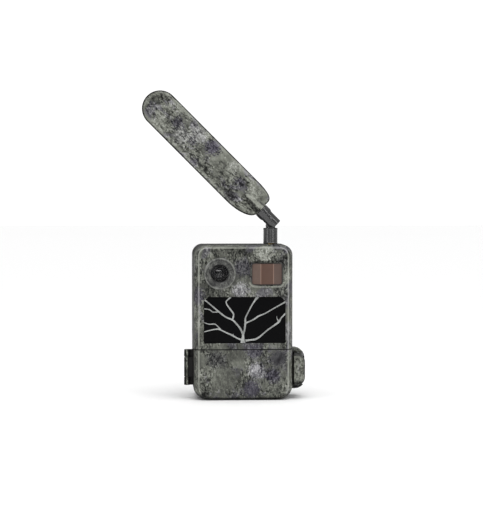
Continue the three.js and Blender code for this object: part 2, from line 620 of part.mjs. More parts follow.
const button = (z) =>
  deepGeometry(
    [
      [0, -18], [1.9, -18], [BUTTONS.radius, -17.6], [BUTTONS.radius, -14.6], [2.9, -14.6],
      [2.9, -13.8], [1.4, -13.8], [1.4, -12.6], [0, -12.6],
    ],
    BUTTONS.x, z, 16,
  );

function powerSwitch() {
  const { x, low, width, height } = SWITCH;
  const ridge = (z) => block([x - width / 2, x + width / 2], [-18.6, -18], [z, z + 0.5]);
  return join(
    block([x - width / 2, x + width / 2], [-18.1, -13.4], [low, low + height]),
    block([x - 2.2, x + 2.2], [-14.7, -13.4], [low - 1.2, low + height + 2]),
    ...[0.6, 1.6, 2.6].map((step) => ridge(low + step)),
  );
}

function controlBoard() {
  const board = block([24.9, 39.6], [-9, -7.6], [11.4, 40]);
  const switches = BUTTONS.z.map((z) =>
    block([BUTTONS.x - 2.4, BUTTONS.x + 2.4], [-11.7, -8.9], [z - 2.4, z + 2.4]));
  const slideSwitch = block([SWITCH.x - 2.4, SWITCH.x + 2.4], [-12.8, -8.9], [SWITCH.low - 1.2, 24.6]);
  const socket = block([24.9, 38.2], [-12.6, 0.4], [5.9, 11.6]);
  const pockets = [SD_CARD, SIM_CARD].map((card) =>
    cardSlot(card, 0.25, [-14, card.front + card.length + 1.2]));
  return cut(join(board, socket, slideSwitch, ...switches), ...pockets);
}

// A card with one corner cut off at its far end.
function card({ left, right, z, thickness, front, length }, corner) {
  const rear = front + length;
  const shape = outline(
    [[left, front], [right, front], [right, rear - corner], [right - corner, rear], [left, rear]]);
  return tallPrism(shape, [z - thickness / 2, z + thickness / 2]);
}

// The eight cells lie front to back, in four columns and two rows.
const CELL_PLACES = [1, -1].flatMap((row) =>
  [-1.5, -0.5, 0.5, 1.5].map((column, i) => ({
    x: (TRAY.left + TRAY.right) / 2 + column * CELL.columnPitch,
    z: (TRAY.low + TRAY.high) / 2 + (row * CELL.rowPitch) / 2,
    reversed: (i % 2 === 1) !== (row < 0),
  })),
);

function batteryTray() {
  const { left, right, low, high, front, rear, chamfer, pull } = TRAY;
  const section = outline([
    [left + chamfer, low], [right - chamfer, low], [right, low + chamfer], [right, high - chamfer],
    [right - chamfer, high], [left + chamfer, high], [left, high - chamfer], [left, low + chamfer],
  ]);
  const bores = CELL_PLACES.map(({ x, z }) => deepRod(CELL.bore, [front + 1.6, rear - 1.4], x, z, 14));
  const openSides = [[high - 4.4, high + 1], [low - 1, low + 4.4]].map((z) =>
    block([left + 3, right - 3], [front + 6, rear - 6], z));
  const middle = (left + right) / 2;
  const grip = block([middle - 11, middle + 11], [front - pull, front + 0.2], [21.6, 24.4]);
  return cut(join(deepPrism(section, [front, rear]), grip), ...bores, ...openSides);
}

function cell({ x, z, reversed }) {
  const { radius, length } = CELL;
  const profile = [
    [0, 0], [radius - 0.8, 0], [radius, 0.6], [radius, length - 2], [radius - 1, length - 1.4],
    [2.7, length - 1.4], [2.7, length], [0, length],
  ];
  const placed = reversed ? profile.map(([r, y]) => [r, length - y]).reverse() : profile;
  return deepGeometry(placed.map(([r, y]) => [r, CELL.front + y]), x, z, 12);
}

const BRACKET_SCREW_Z = [104, 34];

function treeBracket() {
  const { halfWidth, low, high, front, plate, rear, rail } = BRACKET;
  const base = deepPrism(roundedOutline(-halfWidth, halfWidth, low, high, 5, 3), [front, plate]);
  const rails = [-1, 1].map((side) => {
    const middle = side * (halfWidth - rail / 2);
    const blank = block([middle - rail / 2, middle + rail / 2], [plate - 0.2, rear], [low + 2, high - 2]);
    const slots = STRAP_SLOTS.map((slot) => block([-FAR, FAR], STRAP_SLOT_Y, [slot.low, slot.high]));
    const notches = Array.from({ length: 7 }, (_, i) => {
      const z = 57 + i * 4;
      return block([-FAR, FAR], [rear - 2, rear + 1], [z - 0.9, z + 0.9]);
    });
    return cut(blank, ...slots, ...notches);
  });
  const screwHoles = BRACKET_SCREW_Z.flatMap((z) => [
    deepRod(1.8, [front - 1, plate + 1], 0, z, 12),
    deepRod(3.3, [front + 1.4, plate + 1], 0, z, 12),
  ]);
  return cut(join(base, ...rails), ...screwHoles);
}

// A pan-head screw with a cross recess, along Y, its head at the back.
function screw(x, z, seat, length, headRadius, shankRadius) {
  const headHeight = 1.1;
  const body = solid(
    deepGeometry(
      [[0, seat - length], [shankRadius, seat - length + 0.6], [shankRadius, seat], [headRadius, seat],
        [headRadius - 0.3, seat + headHeight], [0, seat + headHeight]],
      x, z, 12,
    ),
  );
  const recess = (wide, high) =>
    block([x - wide, x + wide], [seat + 0.4, seat + 2], [z - high, z + high]);
  return cut(body, recess(1.6, 0.3), recess(0.3, 1.6));
}

const smaJack = () =>
  turned(
    [
      [0, 122], [2.2, 122], [2.2, 127], [3.1, 127], [3.1, 146.5], [2.5, 147.2], [1.7, 147.2],
      [1.7, 140], [0, 140],
    ],
    16,
  ).translate(ANTENNA.x, ANTENNA.y, 0);

function antennaCollar() {
  const { collarLow, collarHigh } = ANTENNA;
  return turned(
    [
      [3.4, collarLow], [5.9, collarLow], [6.37, collarLow + 0.5], [6.37, collarHigh - 0.7], [5.8, collarHigh],
      [4.3, collarHigh], [4.3, 150.6], [5, 150.6], [5, 147.6], [3.4, 147.6], [3.4, collarLow],
    ],
    24,
  );
}

function antennaNeck() {
  const { collarHigh, pivot } = ANTENNA;
  const stem = solid(turned([[0, 141.5], [0.8, 141.5], [0.8, 147.9], [4.7, 147.9], [4.7, 150.3], [4.05, 150.3],
    [4.05, collarHigh + 0.1], [0, collarHigh + 0.1]], 20));
  const half = 2.2;
  const tongue = join(
    block([-4.05, 4.05], [-half, half], [collarHigh, pivot]),
    deepRod(4.05, [-half, half], 0, pivot, 20),
  );
  return cut(join(stem, tongue), deepRod(1.7, [-9, 9], 0, pivot, 12));
}

// The tilting parts are drawn upright about the pivot: X across the blade, Z along it.
function antennaFork() {
  const { radius, end, slot, slotDepth, sleeve, sleeveFrom } = FORK;
  const prongs = uprightRod(radius, [end, sleeveFrom + 0.1], 0, 0, 24);
  const squareSide = block([0, FAR], [-FAR, FAR], [-FAR, FAR]);
  const roundSide = deepRod(-end, [-FAR, FAR], 0, 0, 32).add(above(0));
  const shaped = prongs.intersect(squareSide.add(roundSide));
  const sleeveBody = solid(
    turned([[0, sleeveFrom], [radius, sleeveFrom], [sleeve, sleeveFrom + 0.6], [sleeve, BLADE.base - 0.3],
      [3, BLADE.base - 0.3], [3, 26], [0, 26]], 24));
  const slotCut = block([-FAR, FAR], [-slot, slot], [-FAR, slotDepth]);
  return cut(join(shaped, sleeveBody), slotCut, deepRod(1.7, [-9, 9], 0, 0, 12));
}

// The blade's outline: a round tip, and a base whose left corner is longer than its right one.
function bladeOutline(inset) {
  const half = BLADE.halfWidth - inset;
  const low = BLADE.base + inset;
  const tipCentre = BLADE.tip - BLADE.halfWidth;
  const shape = new THREE.Shape();
  shape.moveTo(half, 28);
  shape.lineTo(half, tipCentre);
  shape.absarc(0, tipCentre, half, 0, Math.PI, false);
  shape.lineTo(-half, 40);
  shape.bezierCurveTo(-half, 24, -half + 5, low, -5, low);
  shape.lineTo(9, low);
  shape.bezierCurveTo(half - 1.8, low, half - 0.6, 18, half, 28);
  return shape;
}

// Half of the blade: side is -1 for the front shell and 1 for the back one.
function bladeShell(side) {
  const { halfThickness, boss, bossEnd, base } = BLADE;
  const halfSpace = side < 0 ? before(-0.15) : behind(0.15);
  const bevel = 1.4;
  const body = new THREE.ExtrudeGeometry(bladeOutline(bevel), {
    depth: 2 * (halfThickness - bevel), bevelEnabled: true, bevelSize: bevel, bevelThickness: bevel,
    bevelSegments: 2, curveSegments: 8,
  });
  const skin = solid(body.rotateX(Math.PI / 2).translate(0, halfThickness - bevel, 0));
  const hump = solid(turned(
    [[0, base], [boss - 0.4, base], [boss, base + 0.6], [boss - 0.6, 24], [3.6, bossEnd], [0, bossEnd + 1]], 20));
  const pocket = deepPrism(bladeOutline(3), [-2.2, 2.2], 8);
  const bore = uprightRod(3.3, [base - 1, 26.5], 0, 0, 16);
  return cut(join(skin, hump), pocket, bore).intersect(halfSpace);
}

const antennaElement = () =>
  join(block([-9, 9], [-0.8, 0.8], [31, 128]), block([-3, 3], [-0.8, 0.8], [27, 31.2]));

const camera = new THREE.Group();

function addMesh(parent, name, shape, material) {
  const mesh = new THREE.Mesh(shape.isBufferGeometry ? shape : geometryOf(shape), material);
  mesh.name = name;
  parent.add(mesh);
  return mesh;
}

function addCase() {
  addMesh(camera, "rear_housing", rearHousing(), MATERIAL.camo);
  addMesh(camera, "front_housing", frontHousing(), MATERIAL.camo);
  const sealDepth = [PARTING_Y + SEAM, PARTING_Y + SEAM + SEAL_DEPTH];
  addMesh(camera, "upper_seal", upperSealFrame(0, sealDepth), MATERIAL.seal);
  addMesh(camera, "door_seal", doorSealFrame(0, sealDepth), MATERIAL.seal);
  addMesh(camera, "hinge_pin", hingeRod(HINGE.pin, [HINGE_LOW + 0.4, HINGE_HIGH - 0.4], 12), MATERIAL.steel);
  addMesh(camera, "latch_pin", uprightRod(LATCH.pin, [GUARD.low + 1.3, GUARD.high - 1.5], LATCH.x, LATCH.y, 12),
    MATERIAL.steel);
  addMesh(camera, "tree_bracket", treeBracket(), MATERIAL.camo);
  BRACKET_SCREW_Z.forEach((z, i) =>
    addMesh(camera, `bracket_screw_${i + 1}`, screw(0, z, BRACKET.front + 1.5, 4.6, 2.9, 1.5), MATERIAL.steel));
  PILLAR.z.flatMap((z) => [-1, 1].map((side) => [side * PILLAR.x, z])).forEach(([x, z], i) =>
    addMesh(camera, `housing_screw_${i + 1}`, screw(x, z, PILLAR.seat + 0.1, 17, 2.9, 1.5), MATERIAL.steel));
  const insert = turned([[TRIPOD.thread, 0.3], [TRIPOD.outer, 0.3], [TRIPOD.outer, TRIPOD.depth],
    [TRIPOD.thread, TRIPOD.depth], [TRIPOD.thread, 0.3]], 16).translate(TRIPOD.x, TRIPOD.y, 0);
  addMesh(camera, "tripod_insert", insert, MATERIAL.brass);
}

function addPowerPort() {
  const { x, y } = POWER_PORT;
  const jack = cut(
    block([x - 3.9, x + 4], [y - 5, y + 5], [WALL + 0.3, 12.4]),
    uprightRod(3.1, [0, 10], x, y, 16),
  );
  addMesh(camera, "dc_jack", jack, MATERIAL.blackPlastic);
  const plug = turned([[0, 0.5], [3.9, 0.5], [3.9, 2.2], [2.7, 2.2], [2.7, 8], [2.2, 8.6], [0, 8.6]], 16);
  addMesh(camera, "port_plug", plug.translate(x, y, 0), MATERIAL.seal);
}

function addDoor() {
  const door = new THREE.Group();
  addMesh(door, "battery_door", batteryDoor(), MATERIAL.camo);
  camera.add(door);
}

function addOptics() {
  addMesh(camera, "lens_bezel", lensBezel(), MATERIAL.camo);
  addMesh(camera, "lens_seal", lensSeal(), MATERIAL.seal);
  const coverGlass = deepRod(8.1, [FRONT_Y + 2.6, FRONT_Y + 3.8], LENS.x, LENS.z, 28);
  addMesh(camera, "cover_glass", coverGlass, MATERIAL.glass);
  addMesh(camera, "lens_barrel", lensBarrel(), MATERIAL.blackPlastic);
  addMesh(camera, "lens_element", lensElement(), MATERIAL.glass);
  addMesh(camera, "lens_holder", lensHolder(), MATERIAL.blackPlastic);
  addMesh(camera, "ir_cut_shuttle", irCutShuttle(), MATERIAL.greyPlastic);
  addMesh(camera, "sensor_board", sensorBoard(), MATERIAL.board);
  addMesh(camera, "pir_window", pirWindow(), MATERIAL.pir);
  addMesh(camera, "pir_sensor", pirSensor(), MATERIAL.shield);
  addMesh(camera, "ir_window", irWindow(), MATERIAL.irWindow);
  addMesh(camera, "branch_mask", branchMask(), MATERIAL.camo);
  addMesh(camera, "ir_led_board", irLedBoard(), MATERIAL.board);
}

function addElectronics() {
  addMesh(camera, "main_board", mainBoard(), MATERIAL.board);
  addMesh(camera, "modem_module", block([-6, 25], [2.6, 5.7], [86, 117]), MATERIAL.shield);
  addMesh(camera, "antenna_coax", antennaCoax(), MATERIAL.blackPlastic);
  addMesh(camera, "control_board", controlBoard(), MATERIAL.board);
  addMesh(camera, "control_panel", controlPanel(), MATERIAL.greyPlastic);
  addMesh(camera, "status_display",
    block([DISPLAY.left, DISPLAY.right], [-14.7, -12.6], [DISPLAY.low, DISPLAY.high]), MATERIAL.screen);
  BUTTONS.z.forEach((z, i) => addMesh(camera, BUTTONS.names[i], button(z), MATERIAL.buttonRubber));
  addMesh(camera, "power_switch", powerSwitch(), MATERIAL.buttonRubber);
  addMesh(camera, "sd_card", card(SD_CARD, 2), MATERIAL.blackPlastic);
  addMesh(camera, "sim_card", card(SIM_CARD, 1.6), MATERIAL.cardWhite);
}

function addBatteries() {
  addMesh(camera, "battery_tray", batteryTray(), MATERIAL.blackPlastic);
  CELL_PLACES.forEach((place, i) => addMesh(camera, `battery_${i + 1}`, cell(place), MATERIAL.cell));
}

function addLatch() {
  addMesh(camera, "latch_lever", latchLever(), MATERIAL.camo);
}

function addAntenna() {
  addMesh(camera, "sma_jack", smaJack(), MATERIAL.brass);
  const swivel = new THREE.Group();
  swivel.position.set(ANTENNA.x, ANTENNA.y, 0);
  addMesh(swivel, "antenna_collar", antennaCollar(), MATERIAL.antennaPlastic);
  addMesh(swivel, "antenna_neck", antennaNeck(), MATERIAL.antennaPlastic);
  addMesh(swivel, "tilt_pin", deepRod(1.5, [-5, 5], 0, ANTENNA.pivot, 12), MATERIAL.steel);
  const tilting = new THREE.Group();
  tilting.position.z = ANTENNA.pivot;
  tilting.rotation.y = -TILT;
  addMesh(tilting, "antenna_fork", antennaFork(), MATERIAL.antennaPlastic);
  addMesh(tilting, "blade_front", bladeShell(-1), MATERIAL.camo);
  addMesh(tilting, "blade_back", bladeShell(1), MATERIAL.camo);
  addMesh(tilting, "antenna_element", antennaElement(), MATERIAL.board);
  swivel.add(tilting);
  camera.add(swivel);
}

addCase();
addPowerPort();
addDoor();
addOptics();
addElectronics();
addBatteries();
addLatch();
addAntenna();

export default camera;
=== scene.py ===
"""Looks of the trail camera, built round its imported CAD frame.

Shapes are worked out in millimetres, in the frame's axes, and turned into metres when a mesh is made.
X is to the right seen from the front, Y runs from front to back, Z is up from the flat base.
"""

import json
import math

import bmesh
import bpy
from mathutils import Matrix, Vector


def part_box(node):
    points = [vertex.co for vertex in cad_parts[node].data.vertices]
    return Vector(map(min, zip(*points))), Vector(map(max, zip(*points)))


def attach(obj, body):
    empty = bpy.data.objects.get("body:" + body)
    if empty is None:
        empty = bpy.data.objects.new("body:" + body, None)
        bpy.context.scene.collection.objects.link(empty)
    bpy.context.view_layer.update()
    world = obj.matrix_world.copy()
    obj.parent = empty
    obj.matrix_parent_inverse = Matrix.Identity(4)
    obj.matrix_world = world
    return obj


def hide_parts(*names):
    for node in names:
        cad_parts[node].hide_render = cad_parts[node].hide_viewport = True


MM = 0.001

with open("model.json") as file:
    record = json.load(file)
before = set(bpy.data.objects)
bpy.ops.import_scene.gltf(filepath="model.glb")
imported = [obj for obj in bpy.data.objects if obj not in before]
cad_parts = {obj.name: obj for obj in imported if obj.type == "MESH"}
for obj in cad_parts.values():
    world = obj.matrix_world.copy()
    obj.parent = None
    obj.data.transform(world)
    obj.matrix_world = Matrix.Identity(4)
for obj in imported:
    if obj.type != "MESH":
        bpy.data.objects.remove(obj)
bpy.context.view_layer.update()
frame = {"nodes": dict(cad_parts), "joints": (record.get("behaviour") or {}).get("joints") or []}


# ---------------------------------------------------------------- places taken from the frame


def box_mm(node):
    low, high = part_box(node)
    return low / MM, high / MM


def joint_mm(name):
    joint = next(j for j in frame["joints"] if j["name"] == name)
    return Vector(joint["pos_m"]) / MM


def from_axis(point, x, z):
    """How far a point is from the front-to-back line through x and z."""
    return math.hypot(point.x - x, point.z - z)


front_low, front_high = box_mm("front_housing")
window_low, window_high = box_mm("ir_window")
bezel_low, bezel_high = box_mm("lens_bezel")
lever_low, lever_high = box_mm("latch_lever")
collar_low, collar_high = box_mm("antenna_collar")
pir_low, pir_high = box_mm("pir_window")
tripod_low, tripod_high = box_mm("tripod_insert")

# How far the bracket stands behind the case, and the upper seal behind the parting plane.
STAND_OFF = 0.2

HALF_WIDTH = front_high.x
HEIGHT = box_mm("rear_housing")[1].z
FRONT_Y = front_low.y
REAR_Y = box_mm("tree_bracket")[0].y - STAND_OFF
PARTING_Y = box_mm("upper_seal")[0].y - STAND_OFF
SPLIT_Z = (front_low.z + box_mm("battery_door")[1].z) / 2
LENS_X = (bezel_low.x + bezel_high.x) / 2
LENS_Z = (bezel_low.z + bezel_high.z) / 2
PIR_X = (pir_low.x + pir_high.x) / 2
PIR_Z = (pir_low.z + pir_high.z) / 2
ANTENNA_X = (collar_low.x + collar_high.x) / 2
ANTENNA_Y = (collar_low.y + collar_high.y) / 2
HINGE = joint_mm("door_hinge")
LATCH = joint_mm("latch_pivot")
TILT_PIVOT = joint_mm("antenna_tilt")

WALL = 2.4
SEAM = 0.2
TOP_RADIUS = 9.2
BOTTOM_RADIUS = 12
# The radius of the hinge pin's hole, and of the holes for the latch and tilt pins and the screws.
HINGE_BORE = 1.25
PIN_BORE = 1.7
# A length well past every part.
FAR = 300

# Lean of the blade away from upright at rest, to the left.
TILT = math.radians(44.9)
# The blade about its pivot: half its width, its foot and tip above the pivot, and half its thickness.
BLADE = {"half": 16.05, "base": 12.3, "tip": 154, "thick": 3.7}


# ---------------------------------------------------------------- meshes


def mesh_object(name, vertices, faces):
    """A mesh object from points in millimetres, its faces turned outwards."""
    mesh = bpy.data.meshes.new(name)
    mesh.from_pydata([Vector(v) * MM for v in vertices], [], faces)
    work = bmesh.new()
    work.from_mesh(mesh)
    bmesh.ops.remove_doubles(work, verts=work.verts, dist=1e-7)
    bmesh.ops.recalc_face_normals(work, faces=work.faces)
    work.to_mesh(mesh)
    work.free()
    made = bpy.data.objects.new(name, mesh)
    bpy.context.scene.collection.objects.link(made)
    return made


def delete(*objects):
    for item in objects:
        mesh = item.data
        bpy.data.objects.remove(item)
        bpy.data.meshes.remove(mesh)


def apply_modifiers(item):
    depsgraph = bpy.context.evaluated_depsgraph_get()
    made = bpy.data.meshes.new_from_object(item.evaluated_get(depsgraph))
    old = item.data
    item.modifiers.clear()
    item.data = made
    bpy.data.meshes.remove(old)
    return item


def boolean(base, operation, others):
    """base with each of the others joined, cut away or kept in common; the others are used up."""
    for other in others:
        modifier = base.modifiers.new("boolean", "BOOLEAN")
        modifier.solver = "MANIFOLD"
        modifier.operation = operation
        modifier.object = other
    apply_modifiers(base)
    delete(*others)
    return base


def join(base, *others):
    return boolean(base, "UNION", others)


def cut(base, *others):
    return boolean(base, "DIFFERENCE", others)


def keep(base, *others):
    return boolean(base, "INTERSECT", others)


def skin(name, rings):
    """A closed skin through rings of equal length, with a flat face at each end."""
    count = len(rings[0])
    vertices = [point for ring in rings for point in ring]
    faces = []
    for ring in range(len(rings) - 1):
        for i in range(count):
            a = ring * count + i
            b = ring * count + (i + 1) % count
            faces.append((a, b, b + count, a + count))
    faces.append(tuple(range(count)))
    faces.append(tuple(range((len(rings) - 1) * count, len(rings) * count)))
    return mesh_object(name, vertices, faces)


def block(x, y, z):
    corners = [(a, b, c) for c in z for b in y for a in x]
    faces = [(0, 1, 3, 2), (4, 5, 7, 6), (0, 1, 5, 4), (2, 3, 7, 6), (0, 2, 6, 4), (1, 3, 7, 5)]
    return mesh_object("block", corners, faces)


def deep_prism(outline, y):
    """An outline of [x, z] points pushed through from y[0] to y[1]."""
    return skin("prism", [[(px, depth, pz) for px, pz in outline] for depth in y])


def tall_prism(outline, z):
    """An outline of [x, y] points raised from z[0] to z[1]."""
    return skin("prism", [[(px, py, height) for px, py in outline] for height in z])


def turned(name, profile, centre, axis="z", sides=64):
    """A solid of revolution from [radius, height] points that end on the axis or where they start."""
    ring = profile[:-1] if profile[0] == profile[-1] else profile
    closed = ring is not profile
    vertices = []
    for step in range(sides):
        angle = 2 * math.pi * step / sides
        for radius, height in ring:
            a, b = radius * math.cos(angle), radius * math.sin(angle)
            point = {"z": (a, b, height), "y": (a, height, b), "x": (height, a, b)}[axis]
            vertices.append(Vector(point) + Vector(centre))
    count = len(ring)
    faces = []
    for step in range(sides):
        for i in range(count if closed else count - 1):
            a = step * count + i
            b = step * count + (i + 1) % count
            c = (step + 1) % sides * count + (i + 1) % count
            d = (step + 1) % sides * count + i
            faces.append((a, b, c, d))
    made = mesh_object(name, vertices, faces)
    work = bmesh.new()
    work.from_mesh(made.data)
    bmesh.ops.dissolve_degenerate(work, dist=1e-7, edges=work.edges)
    bmesh.ops.recalc_face_normals(work, faces=work.faces)
    work.to_mesh(made.data)
    work.free()
    return made


def rod(radius, span, centre, axis, sides=48):
    profile = [[0, span[0]], [radius, span[0]], [radius, span[1]], [0, span[1]]]
    return turned("rod", profile, centre, axis, sides)


def upright_rod(radius, z, x, y, sides=48):
    return rod(radius, z, (x, y, 0), "z", sides)


def deep_rod(radius, y, x, z, sides=48):
    return rod(radius, y, (x, 0, z), "y", sides)


def softened(points, reach, steps=5):
    """A path with each inner corner rounded, starting and ending reach[i] away from the corner."""
    path = [Vector(points[0])]
    for i in range(1, len(points) - 1):
        before, corner, after = (Vector(points[i + k]) for k in (-1, 0, 1))
        start = corner + (before - corner).normalized() * reach[i - 1]
        end = corner + (after - corner).normalized() * reach[i - 1]
        for step in range(steps + 1):
            t = step / steps
            path.append(start * (1 - t) ** 2 + corner * 2 * t * (1 - t) + end * t * t)
    path.append(Vector(points[-1]))
    return path


def rounded_ring(left, right, low, high, top_radius, bottom_radius, steps=14):
    """The corner points of a rectangle with rounded corners, anticlockwise from the lower left."""
    corners = [
        (left + bottom_radius, low + bottom_radius, bottom_radius, 180),
        (right - bottom_radius, low + bottom_radius, bottom_radius, 270),
        (right - top_radius, high - top_radius, top_radius, 0),
        (left + top_radius, high - top_radius, top_radius, 90),
    ]
    ring = []
    for x, z, radius, start in corners:
        for step in range(steps + 1):
            angle = math.radians(start + 90 * step / steps)
            ring.append((x + radius * math.cos(angle), z + radius * math.sin(angle)))
    return ring


# ---------------------------------------------------------------- materials


class Nodes:
    """Short calls for building one material's node tree."""

    def __init__(self, name):
        self.material = bpy.data.materials.new(name)
        self.material.use_nodes = True
        self.tree = self.material.node_tree
        self.shader = self.tree.nodes["Principled BSDF"]
        self.place = self.add("ShaderNodeTexCoord").outputs["Object"]

    def add(self, kind, **settings):
        node = self.tree.nodes.new(kind)
        for key, value in settings.items():
            setattr(node, key, value)
        return node

    def feed(self, socket, value):
        if isinstance(value, bpy.types.NodeSocket):
            self.tree.links.new(value, socket)
        else:
            socket.default_value = value

    def scaled(self, *scale):
        """The object's coordinates in millimetres times scale: one number, or one for each axis."""
        node = self.add("ShaderNodeMapping")
        self.feed(node.inputs["Vector"], self.place)
        each = scale if len(scale) == 3 else scale * 3
        node.inputs["Scale"].default_value = [s / MM for s in each]
        return node.outputs["Vector"]

    def split(self, vector):
        """The three numbers of a vector."""
        node = self.add("ShaderNodeSeparateXYZ")
        self.feed(node.inputs[0], vector)
        return node.outputs

    def noise(self, vector, detail, roughness=0.55, distortion=0):
        node = self.add("ShaderNodeTexNoise")
        self.feed(node.inputs["Vector"], vector)
        node.inputs["Scale"].default_value = 1
        node.inputs["Detail"].default_value = detail
        node.inputs["Roughness"].default_value = roughness
        node.inputs["Distortion"].default_value = distortion
        return node.outputs["Fac"]

    def cells(self, vector, feature="F1"):
        node = self.add("ShaderNodeTexVoronoi", feature=feature)
        self.feed(node.inputs["Vector"], vector)
        node.inputs["Scale"].default_value = 1
        return node.outputs["Distance"]

    def step(self, value, low, high):
        """0 below low, 1 above high and smooth between."""
        node = self.add("ShaderNodeMapRange", interpolation_type="SMOOTHSTEP")
        self.feed(node.inputs["Value"], value)
        node.inputs["From Min"].default_value = low
        node.inputs["From Max"].default_value = high
        return node.outputs["Result"]

    def math(self, operation, *values):
        node = self.add("ShaderNodeMath", operation=operation)
        for socket, value in zip(node.inputs, values):
            self.feed(socket, value)
        return node.outputs[0]

    def plus(self, a, b):
        return self.math("ADD", a, b)

    def minus(self, a, b):
        return self.math("SUBTRACT", a, b)

    def times(self, a, b):
        return self.math("MULTIPLY", a, b)

    def absolute(self, value):
        return self.math("ABSOLUTE", value)

    def mix(self, factor, a, b):
        """A number between a and b."""
        node = self.add("ShaderNodeMix", data_type="FLOAT")
        for socket, value in zip(node.inputs, (factor, None, a, b)):
            if value is not None:
                self.feed(socket, value)
        return node.outputs[0]

    def ramp(self, value, stops):
        """Colours picked by value, from [position, colour] stops."""
        node = self.add("ShaderNodeValToRGB")
        self.feed(node.inputs["Fac"], value)
        elements = node.color_ramp.elements
        elements[0].position, elements[0].color = stops[0]
        elements[1].position, elements[1].color = stops[-1]
        for position, colour in stops[1:-1]:
            elements.new(position).color = colour
        return node.outputs["Color"]

    def blend(self, factor, a, b):
        """A colour between a and b."""
        node = self.add("ShaderNodeMix", data_type="RGBA")
        self.feed(node.inputs["Factor"], factor)
        self.feed(node.inputs[6], a)
        self.feed(node.inputs[7], b)
        return node.outputs[2]

    def bump(self, height, strength, distance):
        node = self.add("ShaderNodeBump")
        self.feed(node.inputs["Height"], height)
        node.inputs["Strength"].default_value = strength
        node.inputs["Distance"].default_value = distance * MM
        self.feed(self.shader.inputs["Normal"], node.outputs["Normal"])

    def colour(self, value):
        self.feed(self.shader.inputs["Base Color"], value)

    def roughness(self, value):
        self.feed(self.shader.inputs["Roughness"], value)

    def fixed(self, **values):
        for key, value in values.items():
            self.shader.inputs[key.replace("_", " ")].default_value = value


def grey(level):
    return (level, level, level, 1)


def rgb(red, green, blue):
    """A colour given by its display values from 0 to 255, as linear light."""
    linear = [((c / 255 + 0.055) / 1.055) ** 2.4 if c > 10 else c / 255 / 12.92 for c in (red, green, blue)]
    return (*linear, 1)


def shade(tone, gain):
    """A colour made darker or lighter."""
    return tuple(min(1, c * gain) for c in tone[:3]) + (1,)


# Tones of the camouflage print, from its deepest cracks to its palest lichen.
BARK = [(0.0, rgb(18, 19, 17)), (0.22, rgb(44, 45, 42)), (0.42, rgb(79, 80, 75)), (0.56, rgb(107, 109, 101)),
        (0.72, rgb(133, 135, 127)), (1.0, rgb(188, 190, 184))]
DUSK = [(0.0, rgb(19, 18, 23)), (0.22, rgb(45, 43, 51)), (0.42, rgb(72, 70, 79)), (0.56, rgb(97, 95, 103)),
        (0.72, rgb(136, 134, 141)), (1.0, rgb(190, 189, 194))]

# Patches of the print as [across, up, radius, tone, violet, plainness], in millimetres on each front face.
BODY_PATCHES = [
    (-5, 130, 9, -0.14, 0.0, 0.2), (-2, 117, 9, -0.07, 0.6, 0.3), (-3, 97, 8, 0.22, 0.6, 0.3),
    (19, 130, 9, 0.2, 0.0, 0.0), (35, 122, 8, -0.1, 0.2, 0.0), (-27, 96, 9, -0.04, 0.0, 0.2),
    (33, 96, 8, -0.1, 0.1, 0.0), (-43, 92, 10, -0.14, 0.8, 0.2), (-43, 66, 8, 0.12, 0.0, 0.4),
    (9, 44, 9, -0.05, 0.8, 0.3), (-6, 38, 10, 0.04, 0.0, 1.0), (-24, 36, 9, -0.14, 0.3, 0.2),
    (-17, 19, 14, 0.03, 0.0, 0.85), (12, 26, 9, 0.16, 0.7, 0.1), (31, 37, 9, -0.14, 0.5, 0.95),
    (26, 22, 8, -0.11, 0.9, 0.0), (7, 10, 9, -0.07, 0.9, 0.6), (27, 7, 8, -0.03, 0.0, 0.3),
    (-36, 4, 6, -0.3, 0.1, 0.0), (41, 110, 7, 0.12, 0.0, 0.2), (40, 60, 8, 0.05, 0.5, 0.3),
]
BLADE_PATCHES = [
    (8.5, 81, 8, -0.2, 1.0, 0.1), (-11, 41, 6, -0.34, 0.3, 0.0), (4, 43, 6, -0.22, 0.8, 0.0),
    (6, 27, 8, 0.14, 0.0, 0.4), (2, 118, 7, -0.2, 0.7, 0.1), (5, 147, 7, -0.14, 0.0, 0.1),
    (-4, 108, 9, 0.14, 0.3, 0.0), (8, 98, 8, 0.16, 0.4, 0.0), (-9, 74, 7, -0.12, 0.0, 0.0),
    (-12, 84, 5, -0.24, 0.9, 0.0), (0, 61, 9, 0.02, 0.0, 0.5), (10, 55, 6, 0.14, 0.1, 0.3),
    (-8, 128, 8, 0.05, 0.0, 0.3),
]
BEZEL_PATCHES = [(-21, 112, 30, -0.02, 0.25, 0.62)]

# The point attribute that holds painted light on the print: a painted highlight up to 1, or painted shade below
# 0.
PAINTED_SHADING = "painted_shading"
# The pale tone that a painted highlight draws the print towards.
HIGHLIGHT_TONE = 0.84

# How far the patches' torn edges wander, in millimetres.
TEAR = 13


